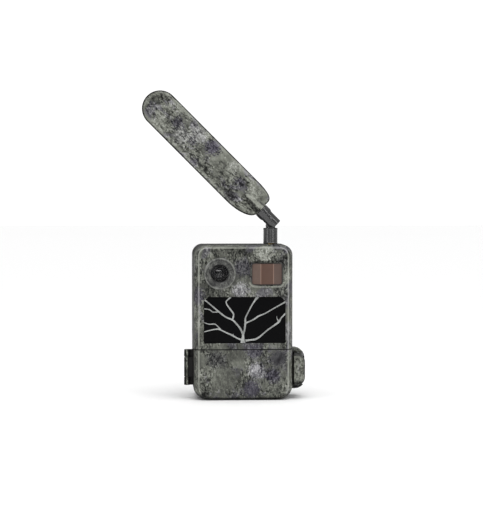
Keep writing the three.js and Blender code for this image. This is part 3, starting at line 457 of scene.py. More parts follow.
def camo_material(name, patches=(), front=0, centre=(0, 0, 0), lean=0.0, seed=0.0, base=0.435):
    """Printed bark camouflage: patches, streaks along the bark, cracks and lichen, on a dull film.

    The patches are laid out from centre, leaning to the left by lean. seed shifts the noise.
    """
    n = Nodes(name)
    local = n.add("ShaderNodeMapping", vector_type="TEXTURE")
    n.feed(local.inputs["Vector"], n.place)
    local.inputs["Location"].default_value = [c * MM for c in centre]
    local.inputs["Rotation"].default_value = (0, -lean, 0)
    local.inputs["Scale"].default_value = (MM, MM, MM)
    where = local.outputs["Vector"]

    def at(across, up, shift=0.0):
        mapping = n.add("ShaderNodeMapping")
        n.feed(mapping.inputs["Vector"], where)
        mapping.inputs["Scale"].default_value = (across, across, up)
        mapping.inputs["Location"].default_value = (seed + shift, seed, shift)
        return mapping.outputs["Vector"]

    def off_middle(value, gain):
        return n.times(n.minus(value, 0.5), gain)

    streaks = n.noise(at(0.62, 0.29), 3, 0.62, 0.5)
    grain = n.noise(at(0.85, 0.68), 2, 0.6)
    flakes = n.noise(at(0.25, 0.2), 3, 0.6, 1.0)
    broad = n.noise(at(0.06, 0.045), 3, 0.6, 0.8)
    hue = n.noise(at(0.07, 0.05, 17), 3, 0.6, 0.9)
    clear = n.noise(at(0.085, 0.07, 31), 3, 0.6, 0.6)

    wander = n.add("ShaderNodeTexNoise")
    n.feed(wander.inputs["Vector"], at(0.13, 0.11, 5))
    wander.inputs["Detail"].default_value = 5
    wander.inputs["Roughness"].default_value = 0.78
    spread = n.add("ShaderNodeVectorMath", operation="MULTIPLY_ADD")
    n.feed(spread.inputs[0], wander.outputs["Color"])
    spread.inputs[1].default_value = (2 * TEAR,) * 3
    n.feed(spread.inputs[2], where)
    torn = spread.outputs["Vector"]

    tone = n.plus(base, off_middle(broad, 0.7))
    violet = n.times(n.step(n.plus(hue, off_middle(flakes, 0.25)), 0.54, 0.62), 0.6)
    plain = n.step(clear, 0.5, 0.58)
    for across, up, radius, shift, tint, quiet in patches:
        reach = n.add("ShaderNodeVectorMath", operation="DISTANCE")
        n.feed(reach.inputs[0], torn)
        reach.inputs[1].default_value = (across + TEAR, front + TEAR, up + TEAR)
        inside = n.step(n.minus(radius, reach.outputs["Value"]), 0, 0.3 * radius)
        tone = n.math("MULTIPLY_ADD", inside, shift, tone)
        violet = n.mix(inside, violet, tint)
        plain = n.mix(inside, plain, quiet)

    busy = n.math("MULTIPLY_ADD", plain, -0.82, 1.0)
    detail = n.plus(off_middle(streaks, 1.55), off_middle(grain, 0.9))
    detail = n.plus(detail, off_middle(flakes, 1.2))
    tone = n.math("MULTIPLY_ADD", detail, busy, tone)
    cracks = n.step(n.plus(n.times(streaks, 0.5), n.times(flakes, 0.5)), 0.575, 0.63)
    tone = n.math("MULTIPLY_ADD", n.times(cracks, busy), -0.34, tone)
    # Painted light from the point attribute: below 0 it darkens the print as painted shade, above 0 it draws it
    # towards a pale painted highlight.
    shading_layer = n.add("ShaderNodeAttribute", attribute_name=PAINTED_SHADING).outputs["Fac"]
    tone = n.math("MULTIPLY_ADD", n.math("MINIMUM", shading_layer, 0.0), 0.34, tone)
    tone = n.mix(n.times(n.math("MAXIMUM", shading_layer, 0.0), 0.95), tone, HIGHLIGHT_TONE)
    n.colour(n.blend(violet, n.ramp(tone, BARK), n.ramp(tone, DUSK)))
    n.roughness(n.math("MULTIPLY_ADD", grain, 0.2, 0.35))
    n.fixed(Specular_IOR_Level=0.07)
    n.bump(n.plus(n.times(grain, 0.6), n.times(streaks, 0.4)), 0.25, 0.04)
    return n.material


def moulded_material(name, tone, roughness, grain_scale=3.2, depth=0.03, rubber=False, polish=0.0):
    """Moulded plastic or rubber: a fine spark-eroded grain and slightly uneven tone."""
    n = Nodes(name)
    fine = n.noise(n.scaled(grain_scale), 3, 0.6)
    wide = n.noise(n.scaled(0.12), 3, 0.5)
    lighter = shade(tone, 1.25)
    colour = n.blend(n.step(wide, 0.35, 0.65), shade(tone, 0.72), lighter)
    n.colour(n.blend(n.times(n.step(fine, 0.45, 0.6), 0.25), colour, lighter))
    n.roughness(n.plus(roughness - 0.06, n.times(fine, 0.14)))
    n.fixed(Specular_IOR_Level=0.3 if rubber else 0.5, Coat_Weight=polish, Coat_Roughness=0.16, Coat_IOR=1.8)
    n.bump(fine, 0.5, depth)
    return n.material


def metal_material(name, tone, roughness):
    """Plated or turned metal with fine machining lines and faint tarnish."""
    n = Nodes(name)
    lines = n.noise(n.scaled(0.5, 0.5, 9), 3, 0.6)
    tarnish = n.noise(n.scaled(0.35), 4, 0.6)
    n.colour(n.blend(n.step(tarnish, 0.4, 0.75), tone, shade(tone, 0.6)))
    n.roughness(n.plus(roughness - 0.05, n.times(lines, 0.2)))
    n.fixed(Metallic=1.0)
    n.bump(lines, 0.3, 0.01)
    return n.material


def board_material(name):
    """Green solder mask with copper tracks and pads under it."""
    n = Nodes(name)
    tracks = n.cells(n.scaled(0.45), "DISTANCE_TO_EDGE")
    pads = n.cells(n.scaled(0.9))
    track = n.step(n.minus(0.09, tracks), 0, 0.03)
    colour = n.blend(track, rgb(16, 62, 38), rgb(34, 104, 62))
    pad = n.step(n.minus(0.16, pads), 0, 0.03)
    n.colour(n.blend(pad, colour, rgb(176, 168, 140)))
    n.roughness(n.minus(0.42, n.times(pad, 0.15)))
    n.bump(n.plus(track, pad), 0.4, 0.04)
    return n.material


def glass_material(name, alpha):
    """Coated lens glass with a faint uneven bloom: nearly clear at a low alpha, solid black at 1."""
    n = Nodes(name)
    bloom = n.noise(n.scaled(0.2), 2, 0.5)
    n.colour(n.blend(n.step(bloom, 0.4, 0.6), rgb(6, 8, 10), rgb(10, 8, 12)))
    n.fixed(Roughness=0.02, IOR=1.5, Alpha=alpha)
    return n.material


# The motion sensor's film: the lip that hides its edge, its folded bays and the lens zones up each bay.
PIR_LIP = 1.15
PIR_BAY = 11.2
PIR_ZONE = 6.4


def pir_material(name):
    """Brown polyethylene film folded into three bays and pressed with the fine arcs of Fresnel lenses, with
    painted light and shade on its bays, folds and margin.
    """
    n = Nodes(name)
    place = n.split(n.scaled(1))
    x, z = place["X"], place["Z"]
    from_middle = n.minus(x, PIR_X)
    off_centre = n.absolute(from_middle)
    # The side bays are painted lighter and darker than the middle, as lit and shaded copies of one film.
    left = n.step(n.minus(0.0, from_middle), 5.3, 6.1)
    right = n.step(from_middle, 5.2, 6.4)
    colour = n.blend(n.step(from_middle, -4.5, 5.0), rgb(73, 48, 35), rgb(75, 50, 38))
    colour = n.blend(left, colour, rgb(90, 72, 63))
    colour = n.blend(right, colour, rgb(74, 54, 45))
    # A painted highlight along each fold.
    fold_highlight = n.step(n.minus(0.55, n.absolute(n.minus(off_centre, PIR_BAY / 2))), 0, 0.4)
    colour = n.blend(n.times(fold_highlight, 0.45), colour, rgb(150, 122, 108))

    up = n.minus(n.math("FRACT", n.math("DIVIDE", z, PIR_ZONE)), 0.5)
    across = n.minus(n.math("FRACT", n.math("DIVIDE", n.plus(from_middle, PIR_BAY / 2), PIR_BAY)), 0.5)
    colour = n.blend(n.times(n.step(n.absolute(up), 0.47, 0.5), 0.15), colour, rgb(50, 34, 28))

    half_x, half_z = (pir_high.x - pir_low.x) / 2 - PIR_LIP, (pir_high.z - pir_low.z) / 2 - PIR_LIP
    # A painted shadow round the margin under the lip.
    rim = n.math("SMOOTH_MIN", n.minus(half_x, off_centre), n.minus(half_z, n.absolute(n.minus(z, PIR_Z))), 1.5)
    n.colour(n.blend(n.step(rim, 0.1, 1.1), rgb(26, 20, 18), colour))

    in_zone = n.add("ShaderNodeCombineXYZ")
    n.feed(in_zone.inputs["X"], n.times(across, PIR_BAY))
    n.feed(in_zone.inputs["Z"], n.times(up, PIR_ZONE))
    radius = n.add("ShaderNodeVectorMath", operation="LENGTH")
    n.feed(radius.inputs[0], in_zone.outputs[0])
    arcs = n.math("FRACT", n.times(radius.outputs["Value"], 2.2))
    n.fixed(Roughness=0.38, Specular_IOR_Level=0.45)
    n.bump(arcs, 0.35, 0.06)
    return n.material


def window_material(name):
    """Polished black acrylic that passes only infra-red."""
    n = Nodes(name)
    haze = n.noise(n.scaled(0.08), 3, 0.5)
    n.colour(n.blend(haze, rgb(4, 4, 5), rgb(8, 8, 9)))
    n.roughness(n.plus(0.1, n.times(n.step(haze, 0.4, 0.7), 0.06)))
    n.fixed(Specular_IOR_Level=0.04)
    return n.material


def cell_material(name):
    """A battery's film sleeve: plain green with a pale band at one end, and steel caps."""
    n = Nodes(name)
    y = n.split(n.scaled(1))["Y"]
    cell_low, cell_high = box_mm("battery_1")
    colour = n.blend(n.step(y, cell_high.y - 14, cell_high.y - 13.6), rgb(34, 92, 62), rgb(200, 196, 182))
    rear_cap = n.step(y, cell_high.y - 2.2, cell_high.y - 2.1)
    front_cap = n.step(n.minus(0.0, y), -cell_low.y - 0.7, -cell_low.y - 0.6)
    caps = n.plus(rear_cap, front_cap)
    n.colour(n.blend(caps, colour, rgb(176, 178, 180)))
    scuffs = n.noise(n.scaled(0.6), 4, 0.6)
    n.roughness(n.plus(0.25, n.times(scuffs, 0.18)))
    n.feed(n.shader.inputs["Metallic"], caps)
    return n.material


def display_material(name):
    """A small unlit status display behind its cover."""
    n = Nodes(name)
    n.colour(n.blend(n.noise(n.scaled(0.2), 2), rgb(10, 13, 18), rgb(18, 24, 30)))
    n.fixed(Roughness=0.08, Coat_Weight=0.5)
    return n.material


MATERIALS = {
    "camo": camo_material("camo_film", BODY_PATCHES, FRONT_Y),
    "blade_camo": camo_material("camo_film_blade", BLADE_PATCHES, -BLADE["thick"], TILT_PIVOT, TILT, 40, 0.5),
    "bezel_camo": camo_material("camo_film_bezel", BEZEL_PATCHES, FRONT_Y),
    "branch": moulded_material("branch_print", rgb(140, 142, 140), 0.5, 0.5, 0.03),
    "interior": moulded_material("case_interior", rgb(46, 47, 45), 0.5),
    # Near-black for the seam grooves, and as painted shade where only shade falls: the hinge's leaves and the
    # motion sensor's recess.
    "dark": moulded_material("painted_shade_and_seam_black", rgb(10, 10, 9), 0.7, rubber=True),
    "seal": moulded_material("seal_rubber", rgb(24, 25, 26), 0.75, rubber=True),
    "steel": metal_material("plated_steel", rgb(170, 172, 174), 0.3),
    "brass": metal_material("brass", rgb(206, 172, 104), 0.28),
    "black": moulded_material("black_plastic", rgb(30, 31, 32), 0.45),
    "grey": moulded_material("grey_plastic", rgb(70, 72, 74), 0.48),
    "antenna": moulded_material("antenna_plastic", rgb(24, 24, 25), 0.26, 2.2, 0.006, polish=0.3),
    "board": board_material("circuit_board"),
    "shield": metal_material("shield_can", rgb(186, 190, 192), 0.35),
    "glass": glass_material("lens_glass", 0.08),
    "element": glass_material("lens_element_glass", 1.0),
    "pir": pir_material("pir_film"),
    "window": window_material("ir_window"),
    "cell": cell_material("cell_wrap"),
    "card": moulded_material("card_plastic", rgb(214, 214, 208), 0.4),
    "display": display_material("display_glass"),
    "button": moulded_material("button_rubber", rgb(104, 108, 110), 0.65, rubber=True),
    "tunnel": moulded_material("lens_tunnel", rgb(17, 17, 19), 0.5, 0.7, 0.004),
}

NODE_MATERIALS = {
    "camo": ["rear_housing", "front_housing", "battery_door", "lens_bezel", "branch_mask", "latch_lever",
             "tree_bracket"],
    "blade_camo": ["blade_front", "blade_back"],
    "seal": ["upper_seal", "door_seal", "lens_seal", "port_plug"],
    "steel": ["hinge_pin", "latch_pin", "bracket_screw_1", "bracket_screw_2", "housing_screw_1",
              "housing_screw_2", "housing_screw_3", "housing_screw_4"],
    "brass": ["tripod_insert", "sma_jack"],
    "black": ["dc_jack", "lens_barrel", "lens_holder", "antenna_coax", "battery_tray", "sd_card"],
    "grey": ["ir_cut_shuttle", "control_panel"],
    "antenna": ["antenna_collar", "antenna_neck", "antenna_fork", "tilt_pin"],
    "board": ["sensor_board", "main_board", "control_board", "ir_led_board", "antenna_element"],
    "shield": ["pir_sensor", "modem_module"],
    "glass": ["cover_glass"],
    "element": ["lens_element"],
    "pir": ["pir_window"],
    "window": ["ir_window"],
    "cell": [f"battery_{i}" for i in range(1, 9)],
    "card": ["sim_card"],
    "display": ["status_display"],
    "button": ["button_up", "button_ok", "button_down", "power_switch"],
}


# Edges sharper than these stay sharp, on the CAD meshes and on the pieces made here.
CAD_SHARP = math.radians(35)
PIECE_SHARP = math.radians(32)


def paint_nodes():
    for key, names in NODE_MATERIALS.items():
        for name in names:
            data = frame["nodes"][name].data
            data.materials.clear()
            data.materials.append(MATERIALS[key])
            data.polygons.foreach_set("use_smooth", [True] * len(data.polygons))
            data.set_sharp_from_angle(angle=CAD_SHARP)


# ---------------------------------------------------------------- case

SEAM_CHAMFER = 0.4
PANEL_INSET = {"side": 4.5, "edge": 2.2}
# Points from front to back as [y, side, edge], where side and edge say how far the outline is drawn in at
# the sides and at the top and bottom, and how far before each inner point its rounding starts.
FILLETS = [0.85, 1.3, 2.4, 0.15]
FRONT_PATH = [
    (FRONT_Y, 5.6, 3.3), (FRONT_Y, PANEL_INSET["side"], PANEL_INSET["edge"]), (FRONT_Y + 6.8, 0.95, 0.6),
    (FRONT_Y + 10.5, 0, 0),
    (PARTING_Y - SEAM - SEAM_CHAMFER, 0, 0), (PARTING_Y - SEAM, SEAM_CHAMFER, SEAM_CHAMFER),
]
REAR_PATH = [
    (PARTING_Y + SEAM, SEAM_CHAMFER, SEAM_CHAMFER), (PARTING_Y + SEAM + SEAM_CHAMFER, 0, 0),
    (REAR_Y - 10, 0, 0), (REAR_Y - 2.6, 2.4, 1.8), (REAR_Y, 6.4, 5), (REAR_Y, 8.4, 7),
]


def case_outline(side, edge):
    """The case's half width, foot, top, top radius and bottom radius, drawn in by side and edge."""
    return HALF_WIDTH - side, edge, HEIGHT - edge, TOP_RADIUS - 0.5 * side, BOTTOM_RADIUS - 0.55 * side


def case_ring(y, side, edge):
    half, low, high, top_radius, bottom_radius = case_outline(side, edge)
    return [(x, y, z) for x, z in rounded_ring(-half, half, low, high, top_radius, bottom_radius)]


def case_skin(name, path, inset=0):
    return skin(name, [case_ring(y, side + inset, edge + inset) for y, side, edge in path])


def front_shell(name):
    return case_skin(name, softened(FRONT_PATH, FILLETS))


def inner_space():
    """The room inside the case, one wall thickness in."""
    path = [
        (FRONT_Y + WALL, 4.2, 1.6), (FRONT_Y + 7, 0.8, 0.5), (FRONT_Y + 10, 0, 0),
        (REAR_Y - 10, 0, 0), (REAR_Y - 3.6, 2.2, 1.6), (REAR_Y - WALL, 5.4, 4.2),
    ]
    return case_skin("inside", softened(path, [0.6, 1, 3, 1]), WALL)


def slab(axis, low, high):
    spans = {"x": (-FAR, FAR), "y": (-FAR, FAR), "z": (-FAR, FAR)}
    spans[axis] = (low, high)
    return block(spans["x"], spans["y"], spans["z"])


def seam_groove():
    """A V-shaped groove round the front shells where the battery door meets the housing."""
    out_reach, in_reach, half_height, overrun = 0.9, 0.6, 1.1, 2
    right = [(HALF_WIDTH - side, y) for y, side, edge in softened(FRONT_PATH, FILLETS)]
    contour = [(x, y) for x, y in reversed(right)] + [(-x, y) for x, y in right]
    contour[0] = (contour[0][0], contour[0][1] + overrun)
    contour[-1] = (contour[-1][0], contour[-1][1] + overrun)
    rings = []
    for i, (x, y) in enumerate(contour):
        x0, y0 = contour[max(i - 1, 0)]
        x1, y1 = contour[min(i + 1, len(contour) - 1)]
        out = Vector((-(y1 - y0), x1 - x0)).normalized() * -1
        if out.dot(Vector((x, y + 10))) < 0:
            out = -out
        rings.append([
            (x + out_reach * out.x, y + out_reach * out.y, SPLIT_Z - half_height),
            (x - in_reach * out.x, y - in_reach * out.y, SPLIT_Z),
            (x + out_reach * out.x, y + out_reach * out.y, SPLIT_Z + half_height),
        ])
    return skin("groove", rings)


def rounded_distance(x, z, half, low, high, top_radius, bottom_radius):
    """How far a point lies outside a rectangle with rounded corners; less than zero inside."""
    middle = (low + high) / 2
    radius = top_radius if z > middle else bottom_radius
    dx = abs(x) - (half - radius)
    dz = abs(z - middle) - ((high - low) / 2 - radius)
    return math.hypot(max(dx, 0), max(dz, 0)) + min(max(dx, dz), 0) - radius


# Below this height the crease gets painted shade instead of a painted highlight. The bevel outside it runs back
# this far.
CREASE_FOOT = 5.5
BEVEL_DEPTH = 8.5


def side_shade(point):
    """Painted shade on the case's walls: most on the top, less on the sides and least far back."""
    if point.z > HEIGHT - 3:
        return -0.75
    return -0.95 + 0.5 * max(0, min(1, (point.y - FRONT_Y) / (REAR_Y - FRONT_Y)))


def panel_shading(point):
    """A painted highlight along the crease round the flat front panel, and painted shade below it and in the
    bevel outside it.
    """
    away = rounded_distance(point.x, point.z, *case_outline(PANEL_INSET["side"], PANEL_INSET["edge"]))
    depth = point.y - FRONT_Y
    if away > 1 or depth > 1.1:
        if not is_outer(point):
            return 0
        if depth > BEVEL_DEPTH:
            return side_shade(point)
        # Painted shade in the bevel near the front, a faint painted highlight further back, and more painted
        # shade near the foot.
        bevel_shade = -0.5 if depth < BEVEL_DEPTH - 3 else 0.1
        return bevel_shade - 0.6 * (point.z < CREASE_FOOT)
    # A painted highlight along the crease, which turns to painted shade near the foot.
    crease = max(0, 1 - (math.hypot(away, depth) - 0.3) / 0.7)
    return -0.4 * crease if point.z < CREASE_FOOT else 0.85 * crease


# The openings between the front and rear rooms, as [foot, top, corner radius].
LOWER_MOUTH = (5, 41, 6)
UPPER_MOUTH = (49, 132, 5)


def mouth(low, high, radius, y):
    half = HALF_WIDTH - 5
    return deep_prism(rounded_ring(-half, half, low, high, radius, radius, 8), y)


def is_outer(point):
    """True on the film-covered outside: near the case's outline, or just behind its front face."""
    if point.y < FRONT_Y + 1.3 or point.y > REAR_Y - 1:
        return True
    path = FRONT_PATH if point.y < PARTING_Y else REAR_PATH
    side, edge = path[-1][1:] if point.y < PARTING_Y else path[0][1:]
    for (y0, s0, e0), (y1, s1, e1) in zip(path, path[1:]):
        if y0 <= point.y <= y1 and y1 > y0:
            t = (point.y - y0) / (y1 - y0)
            side, edge = s0 + (s1 - s0) * t, e0 + (e1 - e0) * t
    return rounded_distance(point.x, point.z, *case_outline(side, edge)) > -0.75


def dress(item, body, materials, node, chooser=None, painted_shading=None):
    """Names a piece's body, its finish and the CAD node it replaces, and shades it smooth.

    chooser picks a face's material. The last argument gives the painted light at a point: a painted highlight on
    the print up to 1, or painted shade below 0.
    """
    data = item.data
    if painted_shading:
        shading_layer = data.attributes.new(PAINTED_SHADING, "FLOAT", "POINT")
        shading_layer.data.foreach_set("value", [painted_shading(v.co / MM) for v in data.vertices])
    data.materials.clear()
    for key in materials:
        data.materials.append(MATERIALS[key])
    for face in data.polygons:
        face.material_index = chooser(face.center / MM) if chooser else 0
    data.polygons.foreach_set("use_smooth", [True] * len(data.polygons))
    data.set_sharp_from_angle(angle=PIECE_SHARP)
    weighted = item.modifiers.new("weighted_normals", "WEIGHTED_NORMAL")
    weighted.keep_sharp = True
    weighted.weight = 60
    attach(item, body)
    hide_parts(node)


def named(item, name):
    item.name = name
    item.data.name = name
    return item


def outer_film(centre):
    return 0 if is_outer(centre) else 1


def in_seam(centre):
    """True in the groove between the battery door and the housing."""
    return abs(centre.z - SPLIT_Z) < 0.5


# Above this height the top of the front housing is the antenna's boss.
BOSS_FOOT = 133


def antenna_boss():
    """The swelling of the top edge that the antenna's collar stands on, flush with the front face."""
    top = front_high.z
    corners = [(11, 130), (14.8, 134.9), (17.4, 137.2), (17.9, top), (30.7, top), (31.2, 137.2),
               (33.4, 134.8), (37, 130)]
    outline = [(point[0], point[1]) for point in softened(corners, [1, 0.8, 0.25, 0.25, 0.8, 1], 4)]
    rear = PARTING_Y - SEAM
    depths = [(FRONT_Y + 0.05, 0.55), (FRONT_Y + 0.25, 0.2), (FRONT_Y + 0.75, 0), (rear - 0.4, 0),
              (rear, 0.35)]
    return skin("boss", [
        [(ANTENNA_X + (x - ANTENNA_X) * (1 - inset / 8), y, z - inset * (z > BOSS_FOOT)) for x, z in outline]
        for y, inset in depths
    ])


def pir_cutter():
    half = Vector((pir_high.x - pir_low.x, pir_high.z - pir_low.z)) / 2 - Vector((PIR_LIP, PIR_LIP))
    rings = []
    for y, grow in ((FRONT_Y - 0.6, 3), (FRONT_Y, 2.4), (FRONT_Y + 0.25, 2), (FRONT_Y + 1.5, 0.25),
                    (FRONT_Y + 1.8, 0), (FRONT_Y + 6, 0)):
        ring = rounded_ring(PIR_X - half.x - grow, PIR_X + half.x + grow, PIR_Z - half.y - grow,
                            PIR_Z + half.y + grow, 2.8 + grow, 2.8 + grow, 8)
        rings.append([(x, y, z) for x, z in ring])
    return skin("pir_cutter", rings)


def window_ring(y, grow, radius, steps=6):
    """The infra-red window's outline at depth y, widened by grow."""
    ring = rounded_ring(window_low.x - grow, window_high.x + grow, window_low.z - grow, window_high.z + grow,
                        radius, radius, steps)
    return [(x, y, z) for x, z in ring]


def window_cutters():
    """The stepped seat that the infra-red window lies in, and the opening behind it."""
    seat, flare, lip = 0.25, 0.7, 2.4
    rebate = skin("rebate", [window_ring(FRONT_Y - 0.3, flare, 1.4), window_ring(FRONT_Y + 0.3, seat, 1),
                             window_ring(FRONT_Y + 2.6, seat, 1)])
    through = block((window_low.x + lip, window_high.x - lip), (FRONT_Y, FRONT_Y + 6),
                    (window_low.z + lip, window_high.z - lip))
    return rebate, through


# The housing's four screw pillars, at [x, z].
PILLARS = [(side * 36.6, z) for z in (129.2, 51.5) for side in (-1, 1)]
LIGHT_SENSOR = (-0.4, 110.3)


def front_housing():
    shell = keep(front_shell("front_housing_shell"), slab("z", SPLIT_Z + SEAM, FAR))
    cut(shell, keep(inner_space(), slab("z", SPLIT_Z + SEAM + WALL, FAR)))
    ledge = block((window_low.x - 1.7, window_high.x + 1.7), (FRONT_Y + 1, FRONT_Y + 4.2),
                  (window_low.z - 1.6, window_high.z + 1.6))
    bosses = [deep_rod(3.6, (FRONT_Y + 1, PARTING_Y - SEAM), x, z, 32) for x, z in PILLARS]
    rim_steps = [(0, 1), (2.5, 1), (2.5, -0.15), (2.2, -0.35), (1.7, -0.35), (1.3, 0.3), (0, 0.3)]
    sensor_rim = turned("rim", [[radius, FRONT_Y + depth] for radius, depth in rim_steps],
                        (LIGHT_SENSOR[0], 0, LIGHT_SENSOR[1]), "y", 40)
    join(shell, antenna_boss(), ledge, sensor_rim, *bosses)
    holes = [deep_rod(PIN_BORE, (FRONT_Y + 6, PARTING_Y + 1), x, z, 20) for x, z in PILLARS]
    cut(
        shell, *window_cutters(), pir_cutter(), *holes,
        deep_rod(10.3, (FRONT_Y - 1, FRONT_Y + 6), LENS_X, LENS_Z, 64),
        deep_rod(1.1, (FRONT_Y - 1, FRONT_Y + 0.35), *LIGHT_SENSOR, 24),
        upright_rod(3.4, (118, HEIGHT + 2), ANTENNA_X, ANTENNA_Y),
        seam_groove(),
    )

    def chooser(centre):
        in_boss = centre.z > BOSS_FOOT and abs(centre.x - ANTENNA_X) < 12 and centre.y > FRONT_Y
        bored = math.hypot(centre.x - ANTENNA_X, centre.y - ANTENNA_Y) < 3.6
        in_pir = abs(centre.x - PIR_X) < 13.2 and abs(centre.z - PIR_Z) < 9.2 and centre.y > FRONT_Y + 1
        in_sensor = from_axis(centre, *LIGHT_SENSOR) < 1.25
        # Near-black on the seam groove, and as painted shade on the walls of the motion sensor's recess.
        if in_pir or in_seam(centre):
            return 2
        if in_sensor and centre.y > FRONT_Y - 0.2:
            return 1
        return 0 if (is_outer(centre) or in_boss) and not bored else 1

    def painted_shading(point):
        # Round the motion sensor's opening: a painted highlight on the lower chamfer and painted shade on the
        # upper one.
        round_pir = abs(point.x - PIR_X) < 15.5 and abs(point.z - PIR_Z) < 12
        if round_pir:
            sunk = FRONT_Y + 0.15 < point.y < FRONT_Y + 1.2
            return (0.7 if point.z < PIR_Z - 7 else -0.6) * sunk
        # Darker round the light sensor, most away from the front of its rim.
        if from_axis(point, *LIGHT_SENSOR) < 2.35:
            return -0.2 if point.y < FRONT_Y - 0.2 else -0.6
        return panel_shading(point)

    dress(shell, "camera_body", ("camo", "interior", "dark"), "front_housing", chooser, painted_shading)


# ---------------------------------------------------------------- hinge and battery door

HINGE_RADIUS = 2.7
# The foot of the lowest knuckle, the two joins and the top of the highest.
HINGE_HEIGHTS = (12.4, 19.7, 37.3, 44.1)
HINGE_GAP = 0.2


def knuckle(low, high):
    """A hinge barrel with softened rims."""
    rim = 0.35
    profile = [[0, low], [HINGE_RADIUS - rim, low], [HINGE_RADIUS, low + rim], [HINGE_RADIUS, high - rim],
               [HINGE_RADIUS - rim, high], [0, high]]
    return turned("knuckle", profile, (HINGE.x, HINGE.y, 0), "z", 48)


def leaf(y, low, high):
    return block((HINGE.x, -HALF_WIDTH + 0.6), y, (low, high))


def by_hinge(centre):
    """True on the leaves between the barrel and the case's left wall."""
    return HINGE.x + 0.8 < centre.x < -HALF_WIDTH + 0.1


def hinge_shading(point):
    """A faint painted highlight on the barrel's crown and painted shade round its flanks."""
    across = point.x - HINGE.x
    return 0.1 if -0.8 < across < 0.4 else -1.0


# How far back the ribs inside the door reach: just clear of the battery tray at the end of its slide.
TRAY_SLIDE = 4.3
RIB_Y = box_mm("battery_tray")[0].y - TRAY_SLIDE - 0.3


def battery_door():
    shell = keep(front_shell("battery_door_shell"), slab("z", 0.5, SPLIT_Z - SEAM))
    rim = 3.6
    space = keep(inner_space(), block((-FAR, FAR), (-FAR, PARTING_Y - rim), (-FAR, SPLIT_Z - SEAM - WALL)))
    cut(shell, space, mouth(*LOWER_MOUTH, (PARTING_Y - rim - 0.1, PARTING_Y + 1)))
    low, high = HINGE_HEIGHTS[1] + HINGE_GAP, HINGE_HEIGHTS[2] - HINGE_GAP
    rear = PARTING_Y - SEAM
    catch = tall_prism([(HALF_WIDTH - 0.6, -22.6), (HALF_WIDTH + 0.9, -21.8), (HALF_WIDTH + 0.9, -19.8),
                        (HALF_WIDTH - 0.6, -19.2)], (14, 38))
    ribs = [block((x - 0.6, x + 0.6), (FRONT_Y + 1, RIB_Y), (8, 38)) for x in (-24, -8, 8, 24)]
    join(shell, knuckle(low, high), leaf((rear - 2, rear), low, high), catch, *ribs)
    cut(shell, upright_rod(HINGE_BORE, (0, HEIGHT), HINGE.x, HINGE.y, 24), seam_groove())

    def chooser(centre):
        # The seam groove is near-black, and the leaf by the hinge gets near-black as painted shade.
        if in_seam(centre) or (by_hinge(centre) and low < centre.z < high):
            return 2
        return 0 if abs(centre.x) > HALF_WIDTH + 0.1 else outer_film(centre)

    def painted_shading(point):
        if point.x < -HALF_WIDTH - 0.1:
            return hinge_shading(point)
        # Painted shade on the door's left side round the hinge's middle leaf.
        shaded = point.x < -HALF_WIDTH + 2.6 and low - 7 < point.z < high + 6
        return panel_shading(point) - 0.8 * shaded

    dress(shell, "battery_door", ("camo", "interior", "dark"), "battery_door", chooser, painted_shading)


# ---------------------------------------------------------------- rear housing and latch

# The latch's guard: its outline seen from the front, its depths, and the height of its two ears.
GUARD = {
    "outer": 57.3, "low": 7.5, "high": 43.8, "radius": 10,
    "front": -8.5, "web": 4.2, "rear": 9, "ear": 3.5,
}


def d_ring(left, outer, low, high, radius, steps=14):
    """A D-shaped outline of [x, z] points, straight on the left and round at its right corners."""
    ring = [(left, low)]
    for x, z, start in ((outer - radius, low + radius, 270), (outer - radius, high - radius, 0)):
        for step in range(steps + 1):
            angle = math.radians(start + 90 * step / steps)
            ring.append((x + radius * math.cos(angle), z + radius * math.sin(angle)))
    return ring + [(left, high)]


def d_skin(name, left, outer, low, high, radius, path):
    """D-shaped rings along Y; path holds [y, inset] and the left side isn't drawn in."""
    return skin(name, [
        [(x, y, z) for x, z in d_ring(left, outer - inset, low + inset, high - inset, max(radius - inset, 1))]
        for y, inset in path
    ])


def latch_guard():
    g = GUARD
    left = HALF_WIDTH - 0.6
    size = (left, g["outer"], g["low"], g["high"], g["radius"])
    rim = 0.7
    plate = d_skin("guard", *size, [(g["web"], 0), (g["rear"] - 2 * rim, 0), (g["rear"] - rim, 0.3 * rim),
                                    (g["rear"], 1.2 * rim)])
    ears = d_skin("ears", *size, [(g["front"], rim), (g["front"] + 0.3 * rim, 0.3 * rim),
                                  (g["front"] + rim, 0), (g["web"] + 0.2, 0)])
    cut(ears, block((-FAR, FAR), (-FAR, FAR), (g["low"] + g["ear"], g["high"] - g["ear"])))
    join(plate, ears)
    return cut(plate, upright_rod(PIN_BORE, (g["low"] + 1, g["high"] - 1.2), LATCH.x, LATCH.y, 24))


def rear_hinge():
    """Two knuckles with their leaves, the plate between them and a shield behind the barrel."""
    first, second, third, last = HINGE_HEIGHTS
    front = PARTING_Y + SEAM
    side = -HALF_WIDTH + 0.6
    spine = (first + 0.3, last - 0.3)
    made = [join(knuckle(low, high), leaf((front, front + 2), low, high))
            for low, high in ((first, second - HINGE_GAP), (third + HINGE_GAP, last))]
    made.append(block((HINGE.x + HINGE_RADIUS + 0.4, side), (front, front + 2), spine))
    made.append(block((HINGE.x - 1.5, side), (HINGE.y + HINGE_RADIUS + 0.25, HINGE.y + 4.4), spine))
    return made


def side_grooves():
    """The finger grooves down both sides, each wider at the case's wall than at its floor."""
    steps = ((0.4, -0.4), (0, 0), (-0.55, 0.5), (-0.7, 0.8))
    made = []
    for side in (-1, 1):
        for front in (-9, -1, 7, 15):
            rings = []
            for out, inset in steps:
                radius = 1.4 - inset
                ring = rounded_ring(front + inset, front + 3 - inset, 56 + inset, 124 - inset,
                                    radius, radius, 6)
                rings.append([(side * (HALF_WIDTH + out), y, z) for y, z in ring])
            made.append(skin("groove", rings))
    return made


